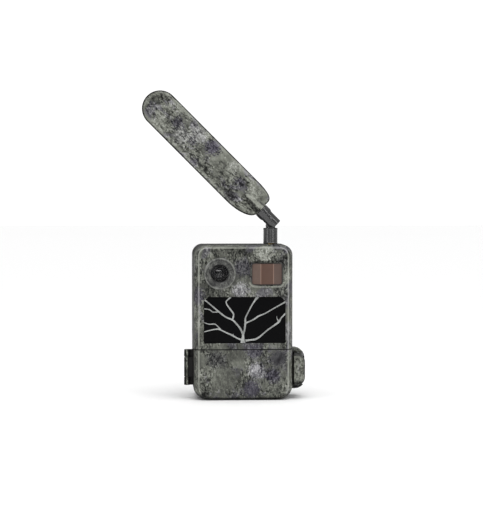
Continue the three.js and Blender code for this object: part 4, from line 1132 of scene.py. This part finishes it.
def seal_channel(node, top_radius, bottom_radius):
    """The channel that a perimeter seal lies in, a little wider and deeper than the seal."""
    low, high = box_mm(node)
    edge = HALF_WIDTH - high.x

    def ring(inset):
        return rounded_ring(low.x + inset, high.x - inset, low.z + inset, high.z - inset,
                            top_radius - edge - inset, bottom_radius - edge - inset, 10)

    span = (PARTING_Y - 1, high.y + 0.15)
    return cut(deep_prism(ring(-0.15), span), deep_prism(ring(1.95), (span[0] - 1, span[1] + 1)))


def rear_housing():
    shell = case_skin("rear_housing_shell", softened(REAR_PATH, [0.15, 3.5, 2.4, 1.2]))
    bay = keep(inner_space(), slab("y", PARTING_Y + 5, FAR))
    cut(bay, slab("z", LOWER_MOUTH[1] + 1.4, UPPER_MOUTH[0] - 1.6))
    depth = (PARTING_Y - 1, PARTING_Y + 5.1)
    cut(shell, bay, mouth(*LOWER_MOUTH, depth), mouth(*UPPER_MOUTH, depth))
    pillars = [deep_rod(4.4, (PARTING_Y + SEAM, REAR_Y - 4), x, z, 32) for x, z in PILLARS]
    tripod_x, tripod_y = (tripod_low.x + tripod_high.x) / 2, (tripod_low.y + tripod_high.y) / 2
    socket = upright_rod(7.2, (0.6, tripod_high.z + 0.6), tripod_x, tripod_y)
    join(shell, *pillars, *rear_hinge(), socket, latch_guard())
    screws = []
    for x, z in PILLARS:
        screws.append(deep_rod(PIN_BORE, (PARTING_Y - 1, -8), x, z, 24))
        screws.append(deep_rod(3.2, (-9, REAR_Y + 1), x, z, 32))
    bracket_bores = [deep_rod(PIN_BORE, (REAR_Y - WALL - 1, REAR_Y + 1), 0, (low.z + high.z) / 2, 24)
                     for low, high in (box_mm("bracket_screw_1"), box_mm("bracket_screw_2"))]
    port_low, port_high = box_mm("port_plug")
    port_x, port_y = (port_low.x + port_high.x) / 2, (port_low.y + port_high.y) / 2
    channels = [seal_channel("door_seal", 7, BOTTOM_RADIUS), seal_channel("upper_seal", TOP_RADIUS, 7)]
    cut(
        shell, *screws, *bracket_bores, *channels, *side_grooves(),
        upright_rod(HINGE_BORE, (HINGE_HEIGHTS[0] - 1, HINGE_HEIGHTS[3] + 1), HINGE.x, HINGE.y, 24),
        upright_rod(tripod_high.x - tripod_x + 0.15, (-1, tripod_high.z + 0.15), tripod_x, tripod_y),
        upright_rod(4.1, (-1, WALL + 1), port_x, port_y),
    )

    def chooser(centre):
        # Faces by the hinge get near-black as painted shade.
        if by_hinge(centre) and centre.z < HINGE_HEIGHTS[3] + 0.1 and centre.y < PARTING_Y + 3:
            return 2
        return 0 if abs(centre.x) > HALF_WIDTH + 0.05 else outer_film(centre)

    def painted_shading(point):
        if point.x < -HALF_WIDTH - 0.1:
            return hinge_shading(point)
        # On the latch guard: painted shade on the lower ear and along its outer edge and rear, and a faint
        # painted highlight elsewhere.
        if point.x > HALF_WIDTH + 0.1:
            edge = GUARD["outer"] - point.x < 0.4 or point.y > GUARD["web"] + 2
            return -0.9 if point.z < GUARD["low"] + GUARD["ear"] + 0.5 else 0.3 - 1.2 * edge
        return side_shade(point) if is_outer(point) and point.y < REAR_Y - 3 else 0

    dress(shell, "camera_body", ("camo", "interior", "dark"), "rear_housing", chooser, painted_shading)


def latch_lever():
    """The sprung lever: domed in front, with a hook behind its left edge and a barrel round its pin."""
    left, low, high = 45.25, lever_low.z, lever_high.z
    front = lever_low.y
    outer, radius = 55.7, 7.5
    path = softened([(front, 4.6), (front + 0.5, 2.2), (front + 2.4, 0.7), (front + 7, 0), (LATCH.y, 0)],
                    [0.4, 0.9, 2], 4)
    body = d_skin("latch_lever_arm", left, outer, low, high, radius, [(p[0], p[1]) for p in path])
    barrel = keep(upright_rod(4.9, (low, high), LATCH.x, LATCH.y, 56),
                  d_skin("trim", left - 3, outer, low, high, radius, [(front, 0), (20, 0)]))
    cut(body, block((left - 1, 46.2), (-22.4, LATCH.y + 1), (0, 60)))
    join(body, barrel)
    cut(body, upright_rod(PIN_BORE, (0, 60), LATCH.x, LATCH.y, 24))

    def painted_shading(point):
        """A painted highlight across the domed front, painted shade round its rim, and more at the foot and
        behind.
        """
        if point.z < low + 4 or point.y > front + 3:
            return -0.9
        return 0.2 if point.y < front + 1 else -0.4

    dress(body, "latch_lever", ("camo",), "latch_lever", None, painted_shading)


# ---------------------------------------------------------------- optics


def lens_bezel():
    """The conical surround: its rounded rim stands proud, and its dark tunnel steps in behind the face."""
    steps = [
        (14, -0.5), (10, -0.5), (10, 5.2), (7.4, 5.2), (7.4, 4), (8.3, 4), (8.3, 2.4), (7.5, 2.4), (7.5, 0.7),
        (7.65, 0.45), (8.2, 0.05), (12.35, -2.72), (12.75, -2.93), (13.2, -3), (13.65, -2.87), (13.9, -2.65),
        (14, -2.3), (14, -0.5),
    ]
    outline = [[radius, FRONT_Y + depth] for radius, depth in steps]
    bezel = turned("lens_bezel_ring", outline, (LENS_X, 0, LENS_Z), "y", 112)

    def chooser(centre):
        return 1 if from_axis(centre, LENS_X, LENS_Z) < 7.8 or centre.y > FRONT_Y + 0.2 else 0

    # A painted highlight round the proud rim.
    def painted_shading(point):
        across = from_axis(point, LENS_X, LENS_Z)
        return max(0, 0.55 - abs(across - 13.3) / 1.6) if point.y < FRONT_Y - 2.2 else 0

    dress(bezel, "camera_body", ("bezel_camo", "tunnel"), "lens_bezel", chooser, painted_shading)


def lens_barrel():
    """The black barrel with its stepped baffles and the threaded stub behind."""
    tread, rise = 0.55, 0.45
    steps = []
    radius, depth = 6.6, -28.6
    while radius > 4.6:
        steps += [[radius, depth], [radius - 0.25, depth + rise], [radius - tread, depth + rise]]
        radius -= tread
        depth += rise
    outline = [[0, -18.5], [0, -26.2], [4.1, -26.2], [4.1, depth]] + list(reversed(steps))
    outline += [[7, -28.6], [7, -22], [6, -22]]
    for turn in range(8):
        y = -21.6 + turn * 0.55
        outline += [[6, y], [5.7, y + 0.27]]
    outline += [[6, -17], [3, -17], [3, -18.5], [0, -18.5]]
    barrel = turned("lens_barrel_body", outline, (LENS_X, 0, LENS_Z), "y", 80)
    dress(barrel, "camera_body", ("tunnel",), "lens_barrel")


# The radius of the front element's domed face.
ELEMENT_RADIUS = 30


def lens_element():
    """The front element, gently domed so that it mirrors a lamp as a small streak."""
    low, high = box_mm("lens_element")
    rim = (high.x - low.x) / 2
    dome = [[rim * share, low.y + (rim * share) ** 2 / (2 * ELEMENT_RADIUS)]
            for share in (0, 0.2, 0.4, 0.6, 0.8, 1)]
    element = turned("lens_element_dome", dome + [[rim, high.y], [0, high.y]], (LENS_X, 0, LENS_Z), "y", 64)
    dress(element, "camera_body", ("element",), "lens_element")


# The printed twigs, each as [across, up, width] points from the middle of the window's foot.
BRANCHES = [
    [(-1.6, 0, 5), (-1.7, 3.2, 3.2), (-1.6, 7.4, 2.1), (-3.8, 12.3, 1.9), (-6.9, 16.4, 1.7), (-10.9, 20.4, 1.7),
     (-16.4, 22.7, 1.5), (-22.9, 27.6, 1.6), (-30.6, 34.2, 1.3), (-36.2, 38.8, 1.5)],
    [(-22.9, 27.6, 1.3), (-27.9, 27.4, 1.1), (-31.4, 29.6, 1), (-36.2, 30.3, 1)],
    [(-10.9, 20.4, 1.5), (-9.9, 25.3, 1.5), (-12.9, 29.9, 1.4), (-15.6, 33.6, 1.3), (-16.4, 36.4, 1.1),
     (-14.8, 38.4, 1.2), (-12.4, 40.6, 1.8)],
    [(-1.6, 6.6, 1.8), (-0.2, 11.7, 1.7), (0.5, 17.7, 1.9), (0.6, 21.9, 1.5), (2.6, 26.3, 1.3), (5.2, 31.3, 1.4),
     (8.2, 36.3, 1.5), (11.4, 40.8, 3)],
    [(0.8, 17.7, 1.6), (5, 19.3, 1.3), (8.5, 21.1, 1.5), (12.1, 23.6, 1.4), (17.6, 25.8, 1.2), (24.6, 29.8, 1.2),
     (30.1, 32.9, 1.3), (36.4, 36.4, 1.5)],
    [(0.6, 1.9, 2.4), (5, 2.6, 1.6), (9.4, 3.2, 1.9), (13.3, 5.4, 1.6), (17.3, 8.9, 1.4), (21.2, 12.1, 1.4),
     (25.7, 15.1, 1.6), (30.1, 18.5, 1.9), (32.2, 22, 1.3), (36.4, 26.2, 1.6)],
    [(30.1, 18.6, 1.7), (28.5, 21.4, 0.9), (28.3, 23.6, 0.6)],
    [(-1.6, 2.4, 2.6), (-5.2, 3.6, 1.5), (-8, 5, 1.4), (-12, 7.2, 1.6), (-16, 9, 1.3), (-20, 11, 1.3),
     (-23, 12.3, 1.6), (-27, 12, 1.2), (-31, 11.2, 1), (-36.2, 9.8, 1.1)],
    [(-21.6, 12, 1.5), (-23.5, 14.4, 1.2), (-26.5, 16.7, 1.1), (-31.4, 16.7, 1), (-36.2, 18.2, 1)],
    [(-10.4, 6.5, 1.3), (-10.2, 8, 0.6)],
]

# The share of those widths that is drawn.
TWIG_GIRTH = 0.88


def smooth_line(points, steps=5):
    """Points along a Catmull-Rom curve through the given [x, z, width] points."""
    line = [Vector(p) for p in points]
    padded = [line[0] * 2 - line[1]] + line + [line[-1] * 2 - line[-2]]
    path = []
    for a, b, c, d in zip(padded, padded[1:], padded[2:], padded[3:]):
        for step in range(steps):
            t = step / steps
            path.append(0.5 * (2 * b + (c - a) * t + (2 * a - 5 * b + 4 * c - d) * t * t
                               + (3 * b - a - 3 * c + d) * t ** 3))
    return path + [line[-1]]


def branch(points, y):
    """One twig: a tapering ribbon with a rounded crest, from y[0] in front to y[1]."""
    path = smooth_line(points)
    middle, base = (window_low.x + window_high.x) / 2, window_low.z
    front, rear = y
    shoulder = front + 0.22
    section = ((-1, rear), (-1, shoulder), (-0.62, front), (0.62, front), (1, shoulder), (1, rear))
    rings = []
    for i, point in enumerate(path):
        along = (path[min(i + 1, len(path) - 1)] - path[max(i - 1, 0)]).xy.normalized()
        across = Vector((-along.y, along.x))
        knot = 1 + 0.1 * math.sin(i * 2.4 + points[0][0])
        ring = []
        for share, depth in section:
            spot = point.xy + across * share * point.z * TWIG_GIRTH / 2 * knot
            ring.append((middle + spot.x, depth, base + spot.y))
        rings.append(ring)
    return skin("twig", rings)


def branch_mask():
    y = (FRONT_Y - 0.05, FRONT_Y + 0.45)
    mask = branch(BRANCHES[0], y)
    top, leg = window_high.z, 3.4
    corners = [deep_prism([(x, top), (x - side * leg, top), (x, top - leg)], (y[0] + 0.1, y[1]))
               for side, x in ((-1, window_low.x), (1, window_high.x))]
    join(mask, *[branch(points, y) for points in BRANCHES[1:]], *corners)
    keep(mask, block((window_low.x, window_high.x), (y[0] - 1, y[1] + 1), (window_low.z, window_high.z)))

    def chooser(centre):
        middle = (window_low.x + window_high.x) / 2
        from_corner = window_high.x - middle - abs(centre.x - middle) + window_high.z - centre.z
        return 1 if from_corner < 3.3 else 0

    named(mask, "branch_mask_print")
    dress(mask, "camera_body", ("branch", "camo"), "branch_mask", chooser)


def ir_window():
    face = ((0.9, 0), (0.3, 0.05), (0, 0.35))
    rings = [window_ring(window_low.y + back, -inset, 1) for inset, back in face]
    rings.append([(x, window_high.y, z) for x, _, z in rings[-1]])
    dress(skin("ir_window_pane", rings), "camera_body", ("window",), "ir_window")


# ---------------------------------------------------------------- antenna

# The fork and blade are modelled upright about their pivot, then leant and moved to it.
STANDING = Matrix.Translation(TILT_PIVOT * MM)
TILTED = STANDING @ Matrix.Rotation(-TILT, 4, "Y")


def bezier(a, b, c, d, steps):
    points = []
    for step in range(1, steps + 1):
        t = step / steps
        u = 1 - t
        points.append(tuple(u ** 3 * p + 3 * u * u * t * q + 3 * u * t * t * r + t ** 3 * s
                            for p, q, r, s in zip(a, b, c, d)))
    return points


def blade_outline():
    """The blade's edge as [across, along] points, anticlockwise from the right side's foot."""
    half, base, tip = BLADE["half"], BLADE["base"], BLADE["tip"]
    points = [(half, 28), (half, 80)]
    centre = tip - half
    for step in range(33):
        angle = math.pi * step / 32
        points.append((half * math.cos(angle), centre + half * math.sin(angle)))
    points += [(-half, 90), (-half, 40)]
    points += bezier((-half, 40), (-half, 24), (-half + 5, base), (-5, base), 14)
    points += [(0, base), (9, base)]
    points += bezier((9, base), (half - 1.8, base), (half - 0.6, 18), (half, 28), 12)[:-1]
    return points


def inset_outline(points, inset):
    moved = []
    count = len(points)
    for i, (x, z) in enumerate(points):
        a, b = Vector(points[i - 1]), Vector(points[(i + 1) % count])
        along = (b - a).normalized()
        moved.append((x - along.y * inset, z + along.x * inset))
    return moved


def blade_shading(point):
    """Painted shade round the edge and on the boss's left flank, and a painted highlight along the fillet and
    the boss's crown.
    """
    across, depth, along = (TILTED.inverted() @ (point * MM)) / MM
    depth = abs(depth)
    half, base, tip, thick = BLADE["half"], BLADE["base"], BLADE["tip"], BLADE["thick"]
    if depth > thick + 0.15:
        if across <= -0.5:
            return -0.6
        return 0.6 if across < 3.5 else -0.1
    if depth < thick - 0.8:
        return -1.2
    if along > tip - half:
        inset = half - math.hypot(across, along - tip + half)
    else:
        inset = min(half - abs(across), max(along - base, 0))
    return 0.4 if 1.2 < inset < 3 else 0


def blade_shell(side):
    """Half of the blade, dished a little at its face, with a drawn-in edge and a seam groove."""
    thick, gap = BLADE["thick"], 0.12
    corners = [(gap, 0.35), (0.5, 0), (thick - 1.5, 0.15), (thick, 1.9), (thick, 5)]
    path = softened(corners, [0.15, 0.5, 0.6], 4)
    outline = blade_outline()
    rings = [[(x, side * y, z) for x, z in inset_outline(outline, inset)] for y, inset in path]
    shell = skin("blade", rings)
    base, boss = BLADE["base"], 6.9
    hump = turned("hump", [
        [0, base], [boss - 0.7, base], [boss - 0.2, base + 0.2], [boss, base + 0.8], [boss - 0.25, 18],
        [boss - 0.9, 24], [boss - 2.3, 30], [2.4, 35.5], [0, 37.5]], (0, 0, 0), "z", 64)
    join(shell, keep(hump, slab("y", gap, FAR) if side > 0 else slab("y", -FAR, -gap)))
    cut(shell, upright_rod(3.3, (base - 1, 26.5), 0, 0, 40))
    cut(shell, deep_prism(inset_outline(outline, 3), (-2.2, 2.2)))
    shell.data.transform(TILTED)
    node = "blade_front" if side < 0 else "blade_back"
    named(shell, node + "_shell")
    dress(shell, "antenna_blade", ("blade_camo",), node, None, blade_shading)


def antenna_fork():
    radius, end, base = 5.95, -7.0, BLADE["base"]
    rim = 0.45
    profile = [[0, end], [radius - rim, end], [radius, end + rim], [radius, 6], [0, 6]]
    barrel = turned("antenna_fork_body", profile, (0, 0, 0), "z", 72)
    square = block((0, FAR), (-FAR, FAR), (-FAR, FAR))
    round_side = join(deep_rod(-end, (-FAR, FAR), 0, 0, 72), slab("z", 0, FAR))
    keep(barrel, join(square, round_side))
    sleeve = turned("sleeve", [[0, 5.4], [radius - 0.1, 5.4], [6.1, 6], [6.35, 6.4], [6.35, base - 0.9],
                               [6.1, base - 0.3], [3, base - 0.3], [3, 26], [0, 26]], (0, 0, 0), "z", 72)
    join(barrel, sleeve)
    cut(barrel, block((-FAR, FAR), (-2.5, 2.5), (-FAR, 5)), deep_rod(PIN_BORE, (-9, 9), 0, 0, 32))
    barrel.data.transform(TILTED)
    dress(barrel, "antenna_blade", ("antenna",), "antenna_fork")


def antenna_neck():
    """The stem that turns in the collar, with a flange to hold it down and the fork's tongue on top."""
    foot = box_mm("antenna_neck")[0].z - TILT_PIVOT.z
    top = collar_high.z - TILT_PIVOT.z
    radius, pin, flange = 4.05, 0.8, 4.7
    stem = turned("antenna_neck_body", [
        [0, foot], [pin, foot], [pin, top - 4.2], [flange, top - 4.2], [flange, top - 1.8],
        [radius, top - 1.8], [radius, top + 0.4], [radius - 0.35, top + 0.8], [0, top + 0.8],
    ], (0, 0, 0), "z", 56)
    thick = (-2.2, 2.2)
    join(stem, join(block((-radius, radius), thick, (top, 0)), deep_rod(radius, thick, 0, 0, 56)))
    cut(stem, deep_rod(PIN_BORE, (-9, 9), 0, 0, 32))
    stem.data.transform(STANDING)
    dress(stem, "antenna_swivel", ("antenna",), "antenna_neck")


def antenna_collar():
    low, high = collar_low.z, collar_high.z
    radius = (collar_high.x - collar_low.x) / 2
    outline = [
        [3.4, low], [radius - 0.5, low], [radius - 0.15, low + 0.15], [radius, low + 0.5], [radius, low + 1.2],
        [radius - 0.12, low + 1.35], [radius - 0.12, high - 1.9], [radius, high - 1.7], [radius, high - 0.9],
        [radius - 0.25, high - 0.3], [radius - 0.8, high], [4.3, high], [4.3, high - 1.5], [5, high - 1.5],
        [5, high - 4.5], [3.4, high - 4.5], [3.4, low],
    ]
    collar = turned("antenna_collar_nut", outline, (ANTENNA_X, ANTENNA_Y, 0), "z", 96)
    dress(collar, "antenna_collar", ("antenna",), "antenna_collar")


# ---------------------------------------------------------------- stage


def make_camera():
    """Looks from a little left of square on and a little above."""
    data = bpy.data.cameras.new("camera")
    data.lens = 117.65
    data.clip_start = 0.05
    data.clip_end = 50
    item = bpy.data.objects.new("camera", data)
    bpy.context.scene.collection.objects.link(item)
    item.location = (-0.08368, -1.49675, 0.17954)
    aim = Vector((0, 0, 0.12719)) - item.location
    item.rotation_euler = aim.to_track_quat("-Z", "Y").to_euler()
    bpy.context.scene.camera = item


def make_floor():
    far = 9000
    corners = [(-far, -far, 0), (far, -far, 0), (far, far, 0), (-far, far, 0)]
    floor = mesh_object("floor", corners, [(0, 1, 2, 3)])
    n = Nodes("floor_paper")
    n.colour(grey(0.93))
    n.fixed(Roughness=0.35, Specular_IOR_Level=0.25)
    floor.data.materials.append(n.material)


def area_light(name, place, aim, size, power):
    data = bpy.data.lights.new(name, "AREA")
    data.shape = "RECTANGLE"
    data.size, data.size_y = size
    data.energy = power
    item = bpy.data.objects.new(name, data)
    bpy.context.scene.collection.objects.link(item)
    item.location = place
    item.rotation_euler = (Vector(aim) - Vector(place)).to_track_quat("-Z", "Y").to_euler()


def make_lights():
    """An overhead sun and a sky dimmer towards the horizon, with strips at the sides and panels in front."""
    world = bpy.data.worlds.new("studio")
    bpy.context.scene.world = world
    world.use_nodes = True
    tree = world.node_tree
    background = tree.nodes["Background"]
    background.inputs["Color"].default_value = grey(1)
    direction = tree.nodes.new("ShaderNodeTexCoord").outputs["Generated"]
    split = tree.nodes.new("ShaderNodeSeparateXYZ")
    tree.links.new(direction, split.inputs[0])
    dome = tree.nodes.new("ShaderNodeMapRange")
    for key, value in (("From Min", 0.05), ("From Max", 0.9), ("To Min", 0.1), ("To Max", 1.0)):
        dome.inputs[key].default_value = value
    tree.links.new(split.outputs["Z"], dome.inputs["Value"])
    rays = tree.nodes.new("ShaderNodeLightPath")
    level = tree.nodes.new("ShaderNodeMix")
    level.inputs["B"].default_value = 1.1
    tree.links.new(rays.outputs["Is Camera Ray"], level.inputs["Factor"])
    tree.links.new(dome.outputs["Result"], level.inputs["A"])
    tree.links.new(level.outputs["Result"], background.inputs["Strength"])

    sun = bpy.data.lights.new("overhead", "SUN")
    sun.energy = 2.1
    sun.angle = math.radians(60)
    overhead = bpy.data.objects.new("overhead", sun)
    bpy.context.scene.collection.objects.link(overhead)
    overhead.rotation_euler = (math.radians(14), math.radians(6), 0)

    middle = (0, 0, 0.12)
    area_light("left_strip", (-0.85, -0.6, 0.3), middle, (0.07, 1.0), 1.7)
    area_light("right_strip", (0.7, -0.85, 0.35), middle, (0.07, 1.0), 2.3)
    area_light("catch_light", (-0.1, -1.6, 0.3), middle, (0.6, 0.1), 1.4)
    area_light("front_panel", (-0.35, -1.5, 1.25), middle, (0.8, 0.5), 0.8)
    bpy.context.scene.view_settings.view_transform = "Standard"


make_camera()
make_lights()
make_floor()
paint_nodes()
front_housing()
battery_door()
rear_housing()
latch_lever()
lens_bezel()
lens_barrel()
lens_element()
branch_mask()
ir_window()
blade_shell(-1)
blade_shell(1)
antenna_fork()
antenna_neck()
antenna_collar()
